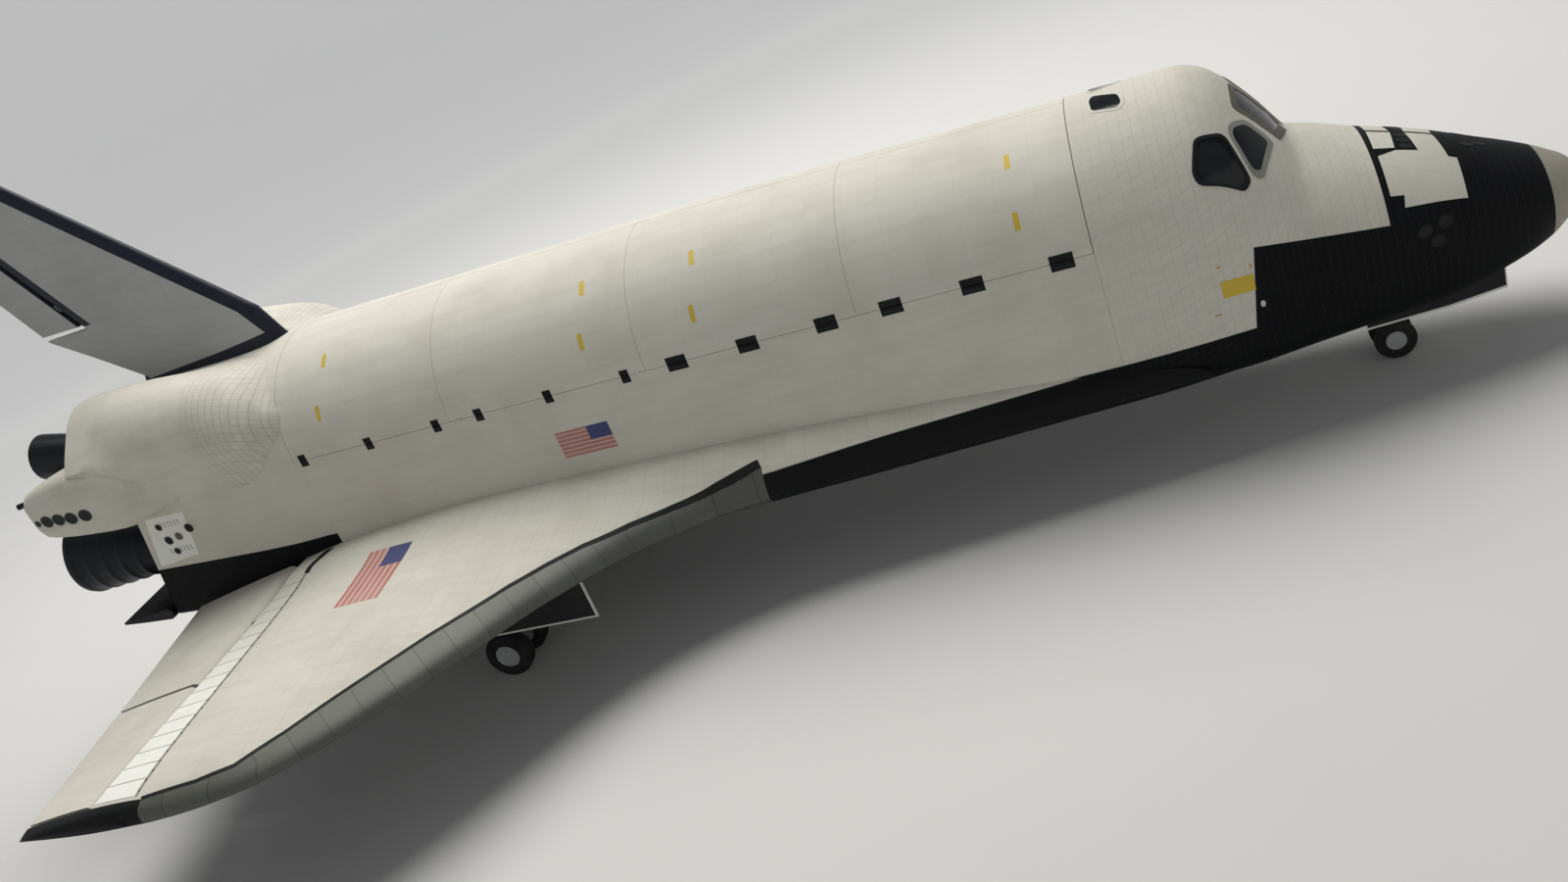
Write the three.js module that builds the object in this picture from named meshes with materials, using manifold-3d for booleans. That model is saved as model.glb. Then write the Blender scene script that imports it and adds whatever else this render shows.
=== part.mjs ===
import * as THREE from 'three'
import { mergeVertices } from 'three/addons/utils/BufferGeometryUtils.js'
import Module from 'manifold-3d'

const wasm = await Module()
wasm.setup()

// Scale and stand of the model
const MODEL_SCALE = 1 / 6
const INCH = 25.4 * MODEL_SCALE
const GROUND_PITCH = 3.5
const GROUND_STATION = 1173
const GROUND_LEVEL = 168
const CENTRE_SHIFT = -206.778
const SEAM = 0.3 / INCH
const PLAY = 5.4 / INCH
const DOOR_PLAY = 3 / INCH

// Stations along the body, in inches of the full-size vehicle
const CAP_REAR = 266
const BAY_FRONT = 582
const BAY_REAR = 1322
const SILL = 405
const BAY_RADIUS = 93
const BAY_CENTRE = 402
const ELEVON_HINGE = 1380
const FLAP_HINGE = 1549
const FLAP_LEVEL = 285
const BASE_STATION = 1545
const RUDDER_BASE = 566
const RUDDER_HEAD = 800

// Body sections: station, belly, corner radius, half width, shoulder, top
const BODY = [
  { at: 238.5, belly: 321, corner: 6, half: 7, shoulder: 328, top: 335 },
  { at: 244, belly: 308, corner: 18, half: 21, shoulder: 327, top: 345 },
  { at: 254, belly: 300, corner: 27, half: 34, shoulder: 326, top: 352 },
  { at: 266, belly: 293, corner: 32, half: 44, shoulder: 326, top: 359 },
  { at: 300, belly: 284, corner: 34, half: 60, shoulder: 329, top: 375 },
  { at: 340, belly: 278, corner: 33, half: 72, shoulder: 335, top: 393 },
  { at: 380, belly: 277, corner: 31, half: 81, shoulder: 343, top: 407 },
  { at: 414, belly: 276, corner: 29, half: 87, shoulder: 353, top: 420 },
  { at: 428, belly: 275.5, corner: 28, half: 89, shoulder: 358, top: 424 },
  { at: 442, belly: 275, corner: 27, half: 91, shoulder: 364, top: 445 },
  { at: 462, belly: 274, corner: 26, half: 94, shoulder: 374, top: 471 },
  { at: 482, belly: 273, corner: 25, half: 97, shoulder: 384, top: 488 },
  { at: 500, belly: 272.5, corner: 25, half: 99, shoulder: 390, top: 493 },
  { at: 530, belly: 271, corner: 24, half: 102, shoulder: 397, top: 493 },
  { at: 582, belly: 269, corner: 22, half: 104, shoulder: SILL, top: 493 },
  { at: 760, belly: 267, corner: 12, half: 104, shoulder: SILL, top: 497 },
  { at: 944, belly: 267, corner: 10, half: 104, shoulder: SILL, top: 500 },
  { at: 1322, belly: 267, corner: 8, half: 104, shoulder: SILL, top: 500 },
  { at: 1345, belly: 267.5, corner: 8, half: 107, shoulder: 407, top: 497 },
  { at: 1365, belly: 268, corner: 8, half: 110, shoulder: 409, top: 494.5 },
  { at: 1420, belly: 271, corner: 8, half: 112, shoulder: 412, top: 493 },
  { at: 1545, belly: 278, corner: 8, half: 112, shoulder: 412, top: 490 },
]

// Wing sections: distance out, leading and trailing stations, lower face, thickness, crest
const WING = [
  { out: 104, lead: 520, trail: 1509, low: 268, thick: 58, crest: 0.62 },
  { out: 124, lead: 700, trail: 1504.4, low: 268.5, thick: 56, crest: 0.6 },
  { out: 143, lead: 880, trail: 1500, low: 269.2, thick: 53, crest: 0.55 },
  { out: 152, lead: 918, trail: 1498, low: 269.6, thick: 51, crest: 0.5 },
  { out: 166, lead: 955, trail: 1495.4, low: 270.2, thick: 49, crest: 0.44 },
  { out: 182, lead: 988, trail: 1492, low: 271, thick: 47, crest: 0.4 },
  { out: 204, lead: 1019, trail: 1487.6, low: 272.4, thick: 44, crest: 0.37 },
  { out: 240, lead: 1058, trail: 1480.5, low: 274.6, thick: 39.5, crest: 0.36 },
  { out: 300, lead: 1108, trail: 1468.6, low: 278.3, thick: 33, crest: 0.36 },
  { out: 350, lead: 1152, trail: 1459, low: 281.4, thick: 28, crest: 0.36 },
  { out: 395, lead: 1199, trail: 1450.5, low: 284.2, thick: 22.5, crest: 0.36 },
  { out: 415, lead: 1228, trail: 1446.7, low: 285.4, thick: 19, crest: 0.38 },
  { out: 428, lead: 1261, trail: 1444.3, low: 286.3, thick: 15.5, crest: 0.4 },
  { out: 436, lead: 1299, trail: 1442.8, low: 286.9, thick: 12, crest: 0.42 },
  { out: 438.5, lead: 1336, trail: 1442.3, low: 287.5, thick: 8, crest: 0.42 },
]

// Line in plan behind the grey leading edge: station and distance out
const EDGE_LINE = [
  { at: 880, out: 134 },
  { at: 920, out: 145 },
  { at: 957, out: 158 },
  { at: 993, out: 173 },
  { at: 1030, out: 193 },
  { at: 1056, out: 212 },
  { at: 1083, out: 235 },
  { at: 1135, out: 288 },
  { at: 1190, out: 350 },
  { at: 1216, out: 380 },
  { at: 1246, out: 408 },
  { at: 1275, out: 419 },
  { at: 1320, out: 428 },
]

// Fin sections: height, leading and trailing stations, thickness
const FIN = [
  { up: 494, lead: 1337, trail: 1512, thick: 26 },
  { up: 531, lead: 1354, trail: 1562, thick: 25 },
  { up: 559, lead: 1383, trail: 1602, thick: 24 },
  { up: 800, lead: 1639, trail: 1737, thick: 13 },
  { up: 815.7, lead: 1659, trail: 1743, thick: 10 },
]

// Orbital engine pods: station, centre out and up, half width, half height, then the
// spots that the skin spans to: inner edge, its rise over the body, lower edge, outer corner
const POD = [
  { at: 1332, out: 80, up: 442, half: 24, rise: 24, near: 40, above: -3, low: 425, flare: 100, flareUp: 440 },
  { at: 1342, out: 82, up: 444, half: 36, rise: 33, near: 36, above: -1.5, low: 416, flare: 105, flareUp: 442 },
  { at: 1355, out: 83, up: 448, half: 42, rise: 40, near: 32, above: 0.5, low: 405, flare: 110, flareUp: 445 },
  { at: 1372, out: 83, up: 452, half: 46, rise: 46, near: 26, above: 1.5, low: 398, flare: 115, flareUp: 448 },
  { at: 1405, out: 82, up: 455, half: 49, rise: 51, near: 20, above: 1.5, low: 393, flare: 120, flareUp: 450 },
  { at: 1455, out: 81, up: 457, half: 51, rise: 55, near: 20, above: 1.5, low: 391, flare: 128, flareUp: 452 },
  { at: 1490, out: 80, up: 458, half: 50, rise: 55, near: 26, above: 1.5, low: 388, flare: 138, flareUp: 460 },
  { at: 1519, out: 79, up: 458, half: 49, rise: 54, near: 44, above: 1, low: 388, flare: 143, flareUp: 466 },
  { at: 1529, out: 79, up: 458, half: 49, rise: 53, near: 50, above: 1, low: 394, flare: 143, flareUp: 466 },
  { at: 1532, out: 79, up: 458, half: 45, rise: 49, near: 56, above: -2, low: 402, flare: 139, flareUp: 462 },
]

// Thruster housings beside the pods: station, inner and outer face, lower and upper face
const HOUSING = [
  { at: 1466, near: 90, out: 126, low: 400, high: 440 },
  { at: 1500, near: 96, out: 143, low: 395, high: 463 },
  { at: 1540, near: 104, out: 148, low: 399, high: 466 },
  { at: 1572, near: 112, out: 149, low: 404, high: 461 },
  { at: 1588, near: 116, out: 148.5, low: 408, high: 456 },
  { at: 1594, near: 120, out: 146, low: 414, high: 451 },
]

// Interpolated row of a table along one of its columns
function rowAt(table, key, value) {
  let i = 1
  while (i < table.length - 1 && table[i][key] < value) i++
  const a = table[i - 1]
  const b = table[i]
  const t = (value - a[key]) / (b[key] - a[key])
  const row = {}
  for (const name of Object.keys(a)) row[name] = a[name] + (b[name] - a[name]) * t
  return row
}

// Solid from a stack of equal rings
function loft(rings, pointed) {
  const n = rings[0].length
  const points = rings.flat(2)
  const tris = []
  for (let r = 0; r < rings.length - 1; r++) {
    for (let k = 0; k < n; k++) {
      const a = r * n + k
      const b = r * n + (k + 1) % n
      if (k < n / 2) tris.push(a, b, b + n, a, b + n, a + n)
      else tris.push(a, b, a + n, b, b + n, a + n)
    }
  }
  for (const end of [0, rings.length - 1]) {
    const base = end * n
    const cap = []
    const shift = pointed ? 0 : 1
    if (pointed) cap.push(0, n - 1, 1)
    for (let k = pointed ? 1 : 0; k < Math.floor(n / 2) - 1; k++) {
      const p = k
      const q = k + 1
      const s = n - k - shift
      const t = s - 1
      cap.push(p, s, q, q, s, t)
    }
    if (pointed) cap.push(n / 2 - 1, n / 2 + 1, n / 2)
    for (let k = 0; k < cap.length; k += 3) {
      const tri = [cap[k] + base, cap[k + 1] + base, cap[k + 2] + base]
      if (end === 0) tris.push(...tri)
      else tris.push(tri[0], tri[2], tri[1])
    }
  }
  return solidFrom(points, tris)
}

// Closed solid from points and triangles, turned to face outward
function solidFrom(points, tris) {
  const corner = k => new THREE.Vector3(points[k * 3], points[k * 3 + 1], points[k * 3 + 2])
  let volume = 0
  for (let k = 0; k < tris.length; k += 3) {
    volume += corner(tris[k]).dot(corner(tris[k + 1]).cross(corner(tris[k + 2])))
  }
  if (volume < 0) {
    for (let k = 0; k < tris.length; k += 3) {
      const swapped = tris[k + 1]
      tris[k + 1] = tris[k + 2]
      tris[k + 2] = swapped
    }
  }
  const vertProperties = new Float32Array(points)
  const triVerts = new Uint32Array(tris)
  return new wasm.Manifold(new wasm.Mesh({ numProp: 3, vertProperties, triVerts }))
}

// Closed solid from a three.js geometry
function solidOf(geometry) {
  geometry.deleteAttribute('normal')
  geometry.deleteAttribute('uv')
  const merged = mergeVertices(geometry, 1e-4)
  const tris = []
  const index = merged.index.array
  for (let k = 0; k < index.length; k += 3) {
    const [a, b, c] = [index[k], index[k + 1], index[k + 2]]
    if (a !== b && b !== c && c !== a) tris.push(a, b, c)
  }
  return solidFrom(Array.from(merged.attributes.position.array), tris)
}

// Ring of a body section, from the belly centre round by the port side
function bodyRing(at, grow = 0) {
  const row = rowAt(BODY, 'at', at)
  const half = row.half + grow
  const belly = row.belly - grow
  const top = row.top + grow
  const corner = Math.max(row.corner + grow, 1)
  const side = [[0, belly]]
  for (let k = 0; k <= 4; k++) {
    const turn = (k / 4) * Math.PI / 2
    side.push([half - corner + corner * Math.sin(turn), belly + corner - corner * Math.cos(turn)])
  }
  for (let k = 0; k < 10; k++) {
    const turn = (k / 10) * Math.PI / 2
    side.push([half * Math.cos(turn), row.shoulder + (top - row.shoulder) * Math.sin(turn)])
  }
  const ring = side.map(([y, z]) => [-at, y, z])
  ring.push([-at, 0, top])
  for (let k = side.length - 1; k > 0; k--) ring.push([-at, -side[k][0], side[k][1]])
  return ring
}

function bodyLoft(from, to, grow = 0) {
  const stations = [from]
  for (const row of BODY) if (row.at > from + 1 && row.at < to - 1) stations.push(row.at)
  stations.push(to)
  return loft(stations.map(at => bodyRing(at, grow)), true)
}

// Upper and lower wing faces at a point of the plan
function wingFaces(out, at) {
  const row = rowAt(WING, 'out', out)
  const s = Math.min(Math.max((at - row.lead) / (row.trail - row.lead), 0), 1)
  const ahead = Math.sqrt(Math.max(0, 1 - Math.pow((row.crest - s) / row.crest, 2)))
  const behind = 1 - Math.pow((s - row.crest) / (1 - row.crest), 1.7)
  const full = s < row.crest ? ahead : behind
  const upper = row.low + 0.3 * row.thick + 0.7 * row.thick * full
  const lower = row.low + 0.3 * row.thick * (1 - full)
  const blunt = 0.7
  return [upper + blunt, lower - blunt]
}

// Wing solid between two station limits that vary along the span
function wingPart(outs, front, rear, steps, grow = 0) {
  const rings = outs.map(out => {
    const a = front(out)
    const b = rear(out)
    const above = []
    const below = []
    for (let k = 0; k <= steps; k++) {
      const at = a + (b - a) * (1 - Math.cos(Math.PI * k / steps)) / 2
      const [upper, lower] = wingFaces(out, at)
      above.push([-at, out, upper + grow])
      below.unshift([-at, out, lower - grow])
    }
    return above.concat(below)
  })
  return loft(rings, false)
}

// The same solid on the starboard side
function starboard(solid) {
  const mesh = solid.getMesh()
  const points = Array.from(mesh.vertProperties)
  for (let k = 1; k < points.length; k += 3) points[k] = -points[k]
  return solidFrom(points, Array.from(mesh.triVerts))
}

const both = solid => solid.add(starboard(solid))

// Box by station, distance to port and height limits
function block(from, to, y0, y1, z0, z1) {
  const box = new THREE.BoxGeometry(to - from, y1 - y0, z1 - z0)
  return solidOf(box.translate(-(from + to) / 2, (y0 + y1) / 2, (z0 + z1) / 2))
}

// Turn a shape that stands on +Y so that it leaves a point in some direction
function aim(geometry, from, direction) {
  const turn = new THREE.Quaternion().setFromUnitVectors(new THREE.Vector3(0, 1, 0), direction)
  return geometry.applyQuaternion(turn).translate(...from)
}

// Round bar or cone between two points
function rod(a, b, r, r2 = r, sides = 16) {
  const along = new THREE.Vector3(b[0] - a[0], b[1] - a[1], b[2] - a[2])
  const length = along.length()
  const bar = new THREE.CylinderGeometry(r2, r, length, sides).translate(0, length / 2, 0)
  return solidOf(aim(bar, a, along.normalize()))
}

// Turned shape about +Y from pairs of radius and height
function turned(profile, sides) {
  return new THREE.LatheGeometry(profile.map(([r, h]) => new THREE.Vector2(r, h)), sides)
}

// Plate from a side view outline between two distances to port
function sidePlate(outline, y0, y1) {
  const shape = new THREE.Shape(outline.map(([at, up]) => new THREE.Vector2(-at, up)))
  const plate = new THREE.ExtrudeGeometry(shape, { depth: y1 - y0, bevelEnabled: false })
  return solidOf(plate.rotateX(Math.PI / 2).translate(0, y1, 0))
}

// Flat shape of points ahead of and across an axis, made solid along that axis
function across(centre, axis, outline, width) {
  const along = new THREE.Vector3(...axis).normalize()
  const ahead = new THREE.Vector3(1, 0, 0).addScaledVector(along, -along.x).normalize()
  const over = new THREE.Vector3().crossVectors(along, ahead)
  const shape = new THREE.Shape(outline.map(([u, v]) => new THREE.Vector2(u, v)))
  const plate = new THREE.ExtrudeGeometry(shape, { depth: width, bevelEnabled: false })
  const frame = new THREE.Matrix4().makeBasis(ahead, over, along).setPosition(...centre)
  return solidOf(plate.translate(0, 0, -width / 2).applyMatrix4(frame))
}

// Outline of a hinge lug: an arm that ends in a half disc about the axis
function lugOutline(radius, reach) {
  const outline = [[reach, radius], [reach, -radius]]
  const way = Math.sign(reach)
  for (let k = 0; k <= 8; k++) {
    const turn = (k / 8) * Math.PI - Math.PI / 2
    outline.push([-way * radius * Math.cos(turn), radius * Math.sin(turn)])
  }
  return outline
}

// Outline of the round room about a hinge axis
function roomOutline(radius) {
  const turns = Array.from({ length: 20 }, (_, k) => (k / 20) * 2 * Math.PI)
  return turns.map(turn => [radius * Math.cos(turn), radius * Math.sin(turn)])
}

const nodes = []
function add(name, solid, slot) {
  nodes.push({ name, solid, slot })
}

// Nose cap and forward body with its nose gear bay
const noseWell = block(296, 402, -26, 26, 240, 330)
add('nose_cap', bodyLoft(238.5, CAP_REAR), 'nose_grey')
let forward = bodyLoft(CAP_REAR + SEAM, BAY_FRONT - SEAM).subtract(noseWell)

// Cabin windshield band, set flush in the skin
const PANE_DEPTH = 1.6
const cabinSkin = bodyLoft(400, 560).subtract(bodyLoft(390, 570, -PANE_DEPTH))
const cabinCut = bodyLoft(399, 561, 3).subtract(bodyLoft(390, 570, -PANE_DEPTH - SEAM))
const band = by => block(418 - by, 500 + by, -120, 120, 424 - by, 468 + by)
forward = forward.subtract(cabinCut.intersect(band(SEAM)))
add('windshield', cabinSkin.intersect(band(0)), 'dark_glass')
add('forward_fuselage', forward, 'white_tile')

// Middle body, open along the top, with the hollow load bay
const BAY_WALL = 12
const bay = rod([-BAY_REAR + BAY_WALL, 0, BAY_CENTRE], [-BAY_FRONT - BAY_WALL, 0, BAY_CENTRE], BAY_RADIUS, BAY_RADIUS, 32)
const openMiddle = bodyLoft(BAY_FRONT, BAY_REAR).subtract(block(500, 1400, -140, 140, SILL, 560)).subtract(bay)

// Knuckles along each sill that carry the bay doors
const DOOR_HALF = 104
const KNUCKLE = 1
const KNUCKLE_LENGTH = 6
const KNUCKLES_AT = [612, 788, 964, 1140, 1292]
function knuckles(grow) {
  const half = KNUCKLE_LENGTH / 2 + grow
  const bars = KNUCKLES_AT.map(at => rod([-at - half, DOOR_HALF, SILL], [-at + half, DOOR_HALF, SILL], KNUCKLE + grow))
  return bars.reduce((a, b) => a.add(b))
}
add('mid_fuselage', openMiddle.add(both(knuckles(0))), 'white_tile')

// Aft body, its base leaning forward as it rises
const BASE_LEAN = 12
function baseCut(aft) {
  const cut = new THREE.BoxGeometry(120, 400, 300).translate(-60, 0, 150)
  return solidOf(cut.rotateY(THREE.MathUtils.degToRad(BASE_LEAN)).translate(-aft, 0, 270))
}
const aft = bodyLoft(BAY_REAR + SEAM, BASE_STATION).subtract(baseCut(BASE_STATION))
const aftRoomTo = at => bodyLoft(BAY_REAR - 5, at, SEAM).subtract(baseCut(at))
const aftRoom = aftRoomTo(BASE_STATION + SEAM)

// Lugs of the body flap on the aft body
const LUG_WIDTH = 4
const LUG_ROOM = LUG_WIDTH + 2 * SEAM
const FLAP_LUG = 3.6
const FLAP_LUGS_OUT = [-102, -36, 36, 102]
const SIDEWAYS = [0, 1, 0]
const flapLug = y => across([-FLAP_HINGE, y, FLAP_LEVEL], SIDEWAYS, lugOutline(FLAP_LUG, 20), LUG_WIDTH)
add('aft_fuselage', FLAP_LUGS_OUT.map(flapLug).reduce((a, b) => a.add(b), aft), 'white_tile')

// Wings, grey leading edges and elevons
const ELEVON_GAP = 4
const lead = out => rowAt(WING, 'out', out).lead
const trail = out => rowAt(WING, 'out', out).trail
function hingeNose(out) {
  const [upper, lower] = wingFaces(out, ELEVON_HINGE)
  return (upper - lower) / 2
}
const boxRear = out => ELEVON_HINGE - hingeNose(out) - PLAY
const TIP_FROM = 427
const spanRows = WING.map(row => row.out).filter(out => out > 104 && out < 438)
const wingFront = wingPart([104 + SEAM, ...spanRows, 438.5], lead, boxRear, 14)
const tip = wingPart([TIP_FROM, 438.5], out => boxRear(out) - 1, trail, 4)

// Upright prism over the plan of the grey leading edge, grown inward by some amount
function edgePrism(grow) {
  const plan = EDGE_LINE.map(({ at, out }) => new THREE.Vector2(-at, out - 1.4 * grow))
  const [first, last] = [EDGE_LINE[0].at - grow, EDGE_LINE[EDGE_LINE.length - 1].at + grow]
  plan[0].x = -first
  plan[plan.length - 1].x = -last
  const outside = 460
  plan.push(new THREE.Vector2(-last, outside), new THREE.Vector2(-first, outside))
  const prism = new THREE.ExtrudeGeometry(new THREE.Shape(plan), { depth: 160, bevelEnabled: false })
  return solidOf(prism.translate(0, 0, 200))
}
const wheelWell = block(1062, 1208, 112, 164, 200, 304)
const wingWhole = wingFront.add(tip)
const edge = wingWhole.intersect(edgePrism(0))
const wingBox = wingWhole.subtract(edgePrism(SEAM)).subtract(wheelWell).subtract(bodyLoft(500, 1544, SEAM))

// Control surface with a round nose about its hinge line
function elevon(from, to) {
  const rings = [from, to].map(out => {
    const radius = hingeNose(out)
    const [upper, lower] = wingFaces(out, ELEVON_HINGE)
    const mid = (upper + lower) / 2
    const above = []
    const below = []
    for (let k = 0; k <= 4; k++) {
      const turn = (k / 4) * Math.PI / 2
      const x = ELEVON_HINGE - radius * Math.cos(turn)
      above.push([-x, out, mid + Math.max(radius * Math.sin(turn), 0.4)])
      below.unshift([-x, out, mid - Math.max(radius * Math.sin(turn), 0.4)])
    }
    for (let k = 1; k <= 4; k++) {
      const x = ELEVON_HINGE + (trail(out) - ELEVON_HINGE) * k / 4
      const [up, down] = wingFaces(out, x)
      above.push([-x, out, up])
      below.unshift([-x, out, down])
    }
    return above.concat(below)
  })
  return loft(rings, false)
}

// Elevons with the lugs that carry them, each set along its own hinge line
const ELEVONS = [
  { name: 'elevon_inboard_', from: 116.5, to: 283, lugs: [134, 200, 266] },
  { name: 'elevon_outboard_', from: 283 + ELEVON_GAP, to: 424, lugs: [302, 356, 410] },
]
const LUG_SHARE = 0.55
const ROOM_OVER = 0.8
function hingePoint(from, to, out) {
  const [low, high] = [from, to].map(y => wingFaces(y, ELEVON_HINGE).reduce((a, b) => a + b) / 2)
  return [-ELEVON_HINGE, out, low + (high - low) * (out - from) / (to - from)]
}
let wing = wingBox
const surfaces = ELEVONS.map(({ name, from, to, lugs }) => {
  const [start, end] = [from, to].map(out => hingePoint(from, to, out))
  const axis = end.map((value, k) => value - start[k])
  let surface = elevon(from, to)
  for (const out of lugs) {
    const place = hingePoint(from, to, out)
    const nose = hingeNose(out)
    const arm = across(place, axis, lugOutline(nose * LUG_SHARE, nose + PLAY + 4), LUG_WIDTH)
    wing = wing.add(arm)
    surface = surface.subtract(across(place, axis, roomOutline(nose + ROOM_OVER), LUG_ROOM))
  }
  return { name, surface }
})
for (const [side, flip] of [['left', solid => solid], ['right', starboard]]) {
  add('wing_' + side, flip(wing), 'white_tile')
  add('leading_edge_' + side, flip(edge), 'carbon_grey')
  for (const { name, surface } of surfaces) add(name + side, flip(surface), 'white_tile')
}

// Bell nozzle, hollow and open at its mouth, or grown and filled as the room it needs
const BELL_CURVE = 0.62
const BELL_FLOOR = 0.3
function bell(place, grow = 0) {
  const steps = 7
  const outside = []
  const inside = []
  for (let k = 0; k <= steps; k++) {
    const t = k / steps
    const r = place.throat + (place.mouth - place.throat) * Math.pow(t, BELL_CURVE)
    outside.push([r + place.wall + grow, t * place.length])
    if (t > BELL_FLOOR) inside.unshift([r, t * place.length])
  }
  const end = grow > 0 ? [[0, place.length]] : [...inside, [0, BELL_FLOOR * place.length]]
  const pitch = THREE.MathUtils.degToRad(place.pitch)
  const yaw = THREE.MathUtils.degToRad(place.yaw)
  const aim3 = new THREE.Vector3(-Math.cos(pitch) * Math.cos(yaw), Math.cos(pitch) * Math.sin(yaw), Math.sin(pitch))
  return solidOf(aim(turned([[0, 0], ...outside, ...end], 28), [-place.at, place.out, place.up], aim3))
}
const ENGINE = { length: 132, throat: 12, mouth: 43.5, wall: 1.8 }
const UPPER = { ...ENGINE, at: 1480, out: 0, up: 428, pitch: 6, yaw: 0 }
const LOWER = { ...ENGINE, length: 128, at: 1516, out: 57, up: 334, pitch: 9, yaw: 3.5 }
const ORBITAL = { at: 1523, out: 88, up: 462, length: 70, throat: 12, mouth: 21, wall: 1.5, pitch: 9, yaw: 4 }

// Fin, with its split rudder hinged on a line behind it
const RUDDER_FOOT = 52
const RUDDER_TIP = 44
const RUDDER_GAP = 6
const AXIS_AHEAD = 3.2
const HEAD_GAP = 5
const STUB_GAP = 5
const PANEL_INSIDE = 0.8
function finRing(up, from, to) {
  const row = rowAt(FIN, 'up', up)
  const chord = row.trail - row.lead
  const port = []
  const other = []
  for (let k = 0; k <= 5; k++) {
    const at = from + (to - from) * k / 5
    const s = Math.min(Math.max((at - row.lead) / chord, 0), 1)
    const full = s < 0.4 ? Math.sqrt(1 - Math.pow((0.4 - s) / 0.4, 2)) : 1 - 0.85 * (s - 0.4) / 0.6
    const y = 0.5 + row.thick / 2 * full
    port.push([-at, y, up])
    other.unshift([-at, -y, up])
  }
  return port.concat(other)
}
const finLead = up => rowAt(FIN, 'up', up).lead
const finTrail = up => rowAt(FIN, 'up', up).trail
const panelLine = [RUDDER_BASE, RUDDER_HEAD].map(up => ({ up, at: finTrail(up) }))
panelLine[0].at -= RUDDER_FOOT
panelLine[1].at -= RUDDER_TIP
const rudderLine = up => rowAt(panelLine, 'up', up).at
const finPart = (ups, front, rear) => loft(ups.map(up => finRing(up, front(up), rear(up))), false)
const finRear = up => Math.min(rudderLine(up) - RUDDER_GAP, finTrail(up) - 1)
const FIN_BASE = 488
const finMain = finPart([FIN_BASE, 531, 559, 800, 815.7], finLead, finRear)
const finStub = finPart([FIN_BASE, 531, 559, RUDDER_BASE - STUB_GAP], up => finRear(up) - 0.5, finTrail)
const finHead = finPart([RUDDER_HEAD + HEAD_GAP, 815.7], up => finRear(up) - 0.5, finTrail)
const slice = (a, b) => block(1300, 1800, a, b, 480, 830)
const panels = finPart([RUDDER_BASE, RUDDER_HEAD], rudderLine, finTrail)
const brake = panels.intersect(slice(PANEL_INSIDE + SEAM, 40))

// Knuckles on the rudder axis, in turn on the fin and on the core, and cross bars behind them
const rudderAxis = [rudderLine(RUDDER_BASE) - rudderLine(RUDDER_HEAD), 0, RUDDER_HEAD - RUDDER_BASE]
const RUDDER_LUG = 1.7
const RUDDER_LUG_WIDTH = 5
const RUDDER_LUGS_UP = [590, 683, 776]
const rudderSlope = Math.atan2(-rudderAxis[0], rudderAxis[2])
const axisPoint = up => [AXIS_AHEAD - rudderLine(up), 0, up]
const LUG_STEP = (RUDDER_LUG_WIDTH + SEAM) * Math.cos(rudderSlope)
const PANEL_BACK = AXIS_AHEAD * Math.cos(rudderSlope)
function hingeSet(up) {
  const lug = (height, reach) => across(axisPoint(height), rudderAxis, lugOutline(RUDDER_LUG, reach), RUDDER_LUG_WIDTH)
  const half = finRing(up, rudderLine(up), finTrail(up))[0][1] - 1.6
  const front = -RUDDER_LUG - SEAM * 2
  const rear = SEAM - PANEL_BACK
  const bar = across(axisPoint(up), rudderAxis, [[rear, half], [rear, -half], [front, -half], [front, half]], 8)
  return { fixed: lug(up - LUG_STEP, 5), moving: lug(up, rear).add(bar) }
}
const hingeSets = RUDDER_LUGS_UP.map(hingeSet)
const coreFront = up => rudderLine(up) - AXIS_AHEAD + (RUDDER_LUG + SEAM * 2) / Math.cos(rudderSlope)
let core = finPart([RUDDER_BASE, RUDDER_HEAD], coreFront, up => rudderLine(up) + 24)
core = core.intersect(slice(-PANEL_INSIDE, PANEL_INSIDE))
let fin = finMain.add(finStub).add(finHead).subtract(aftRoom)
for (const { fixed, moving } of hingeSets) {
  fin = fin.add(fixed)
  core = core.add(moving)
}
add('vertical_fin', fin, 'grey_tile')
add('speed_brake_left', brake, 'grey_tile')
add('speed_brake_right', starboard(brake), 'grey_tile')
add('rudder_core', core, 'dark_metal')

// Body flap
const FLAP_OUTLINE = [[-5.4, 1], [-4.2, 4], [0, 6], [60, 1.2]]
const FLAP_HALF = 116
function flapRing(y) {
  const above = FLAP_OUTLINE.map(([at, half]) => [-(FLAP_HINGE + at), y, FLAP_LEVEL + half])
  const below = FLAP_OUTLINE.map(([at, half]) => [-(FLAP_HINGE + at), y, FLAP_LEVEL - half])
  return above.concat(below.reverse())
}
const flapRooms = FLAP_LUGS_OUT.map(y => across([-FLAP_HINGE, y, FLAP_LEVEL], SIDEWAYS, roomOutline(7), LUG_ROOM))
const flap = flapRooms.reduce((a, b) => a.subtract(b), loft([flapRing(-FLAP_HALF), flapRing(FLAP_HALF)], false))
add('body_flap', flap, 'dark_tile')

// Payload bay doors, hinged along the sills, with their radiators
const DOOR_SKIN = 5
function doorShell(depth, skin, from, to, low, inset) {
  const rings = [from, 760, 944, to].map(at => {
    const rise = rowAt(BODY, 'at', at).top - SILL
    const outside = []
    const inside = []
    for (let k = 0; k <= 10; k++) {
      const turn = low + (Math.PI / 2 - low) * k / 10
      for (const [list, deep] of [[outside, depth], [inside, depth + skin]]) {
        const y = Math.max((DOOR_HALF - deep) * Math.cos(turn), inset)
        list.push([-at, y, SILL + (rise - deep) * Math.sin(turn)])
      }
    }
    return outside.concat(inside.reverse())
  })
  return loft(rings, false)
}
const doorSkin = doorShell(0, DOOR_SKIN, BAY_FRONT + DOOR_PLAY, BAY_REAR - DOOR_PLAY, 0.01, 0.35)
const door = doorSkin.subtract(knuckles(SEAM))
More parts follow.
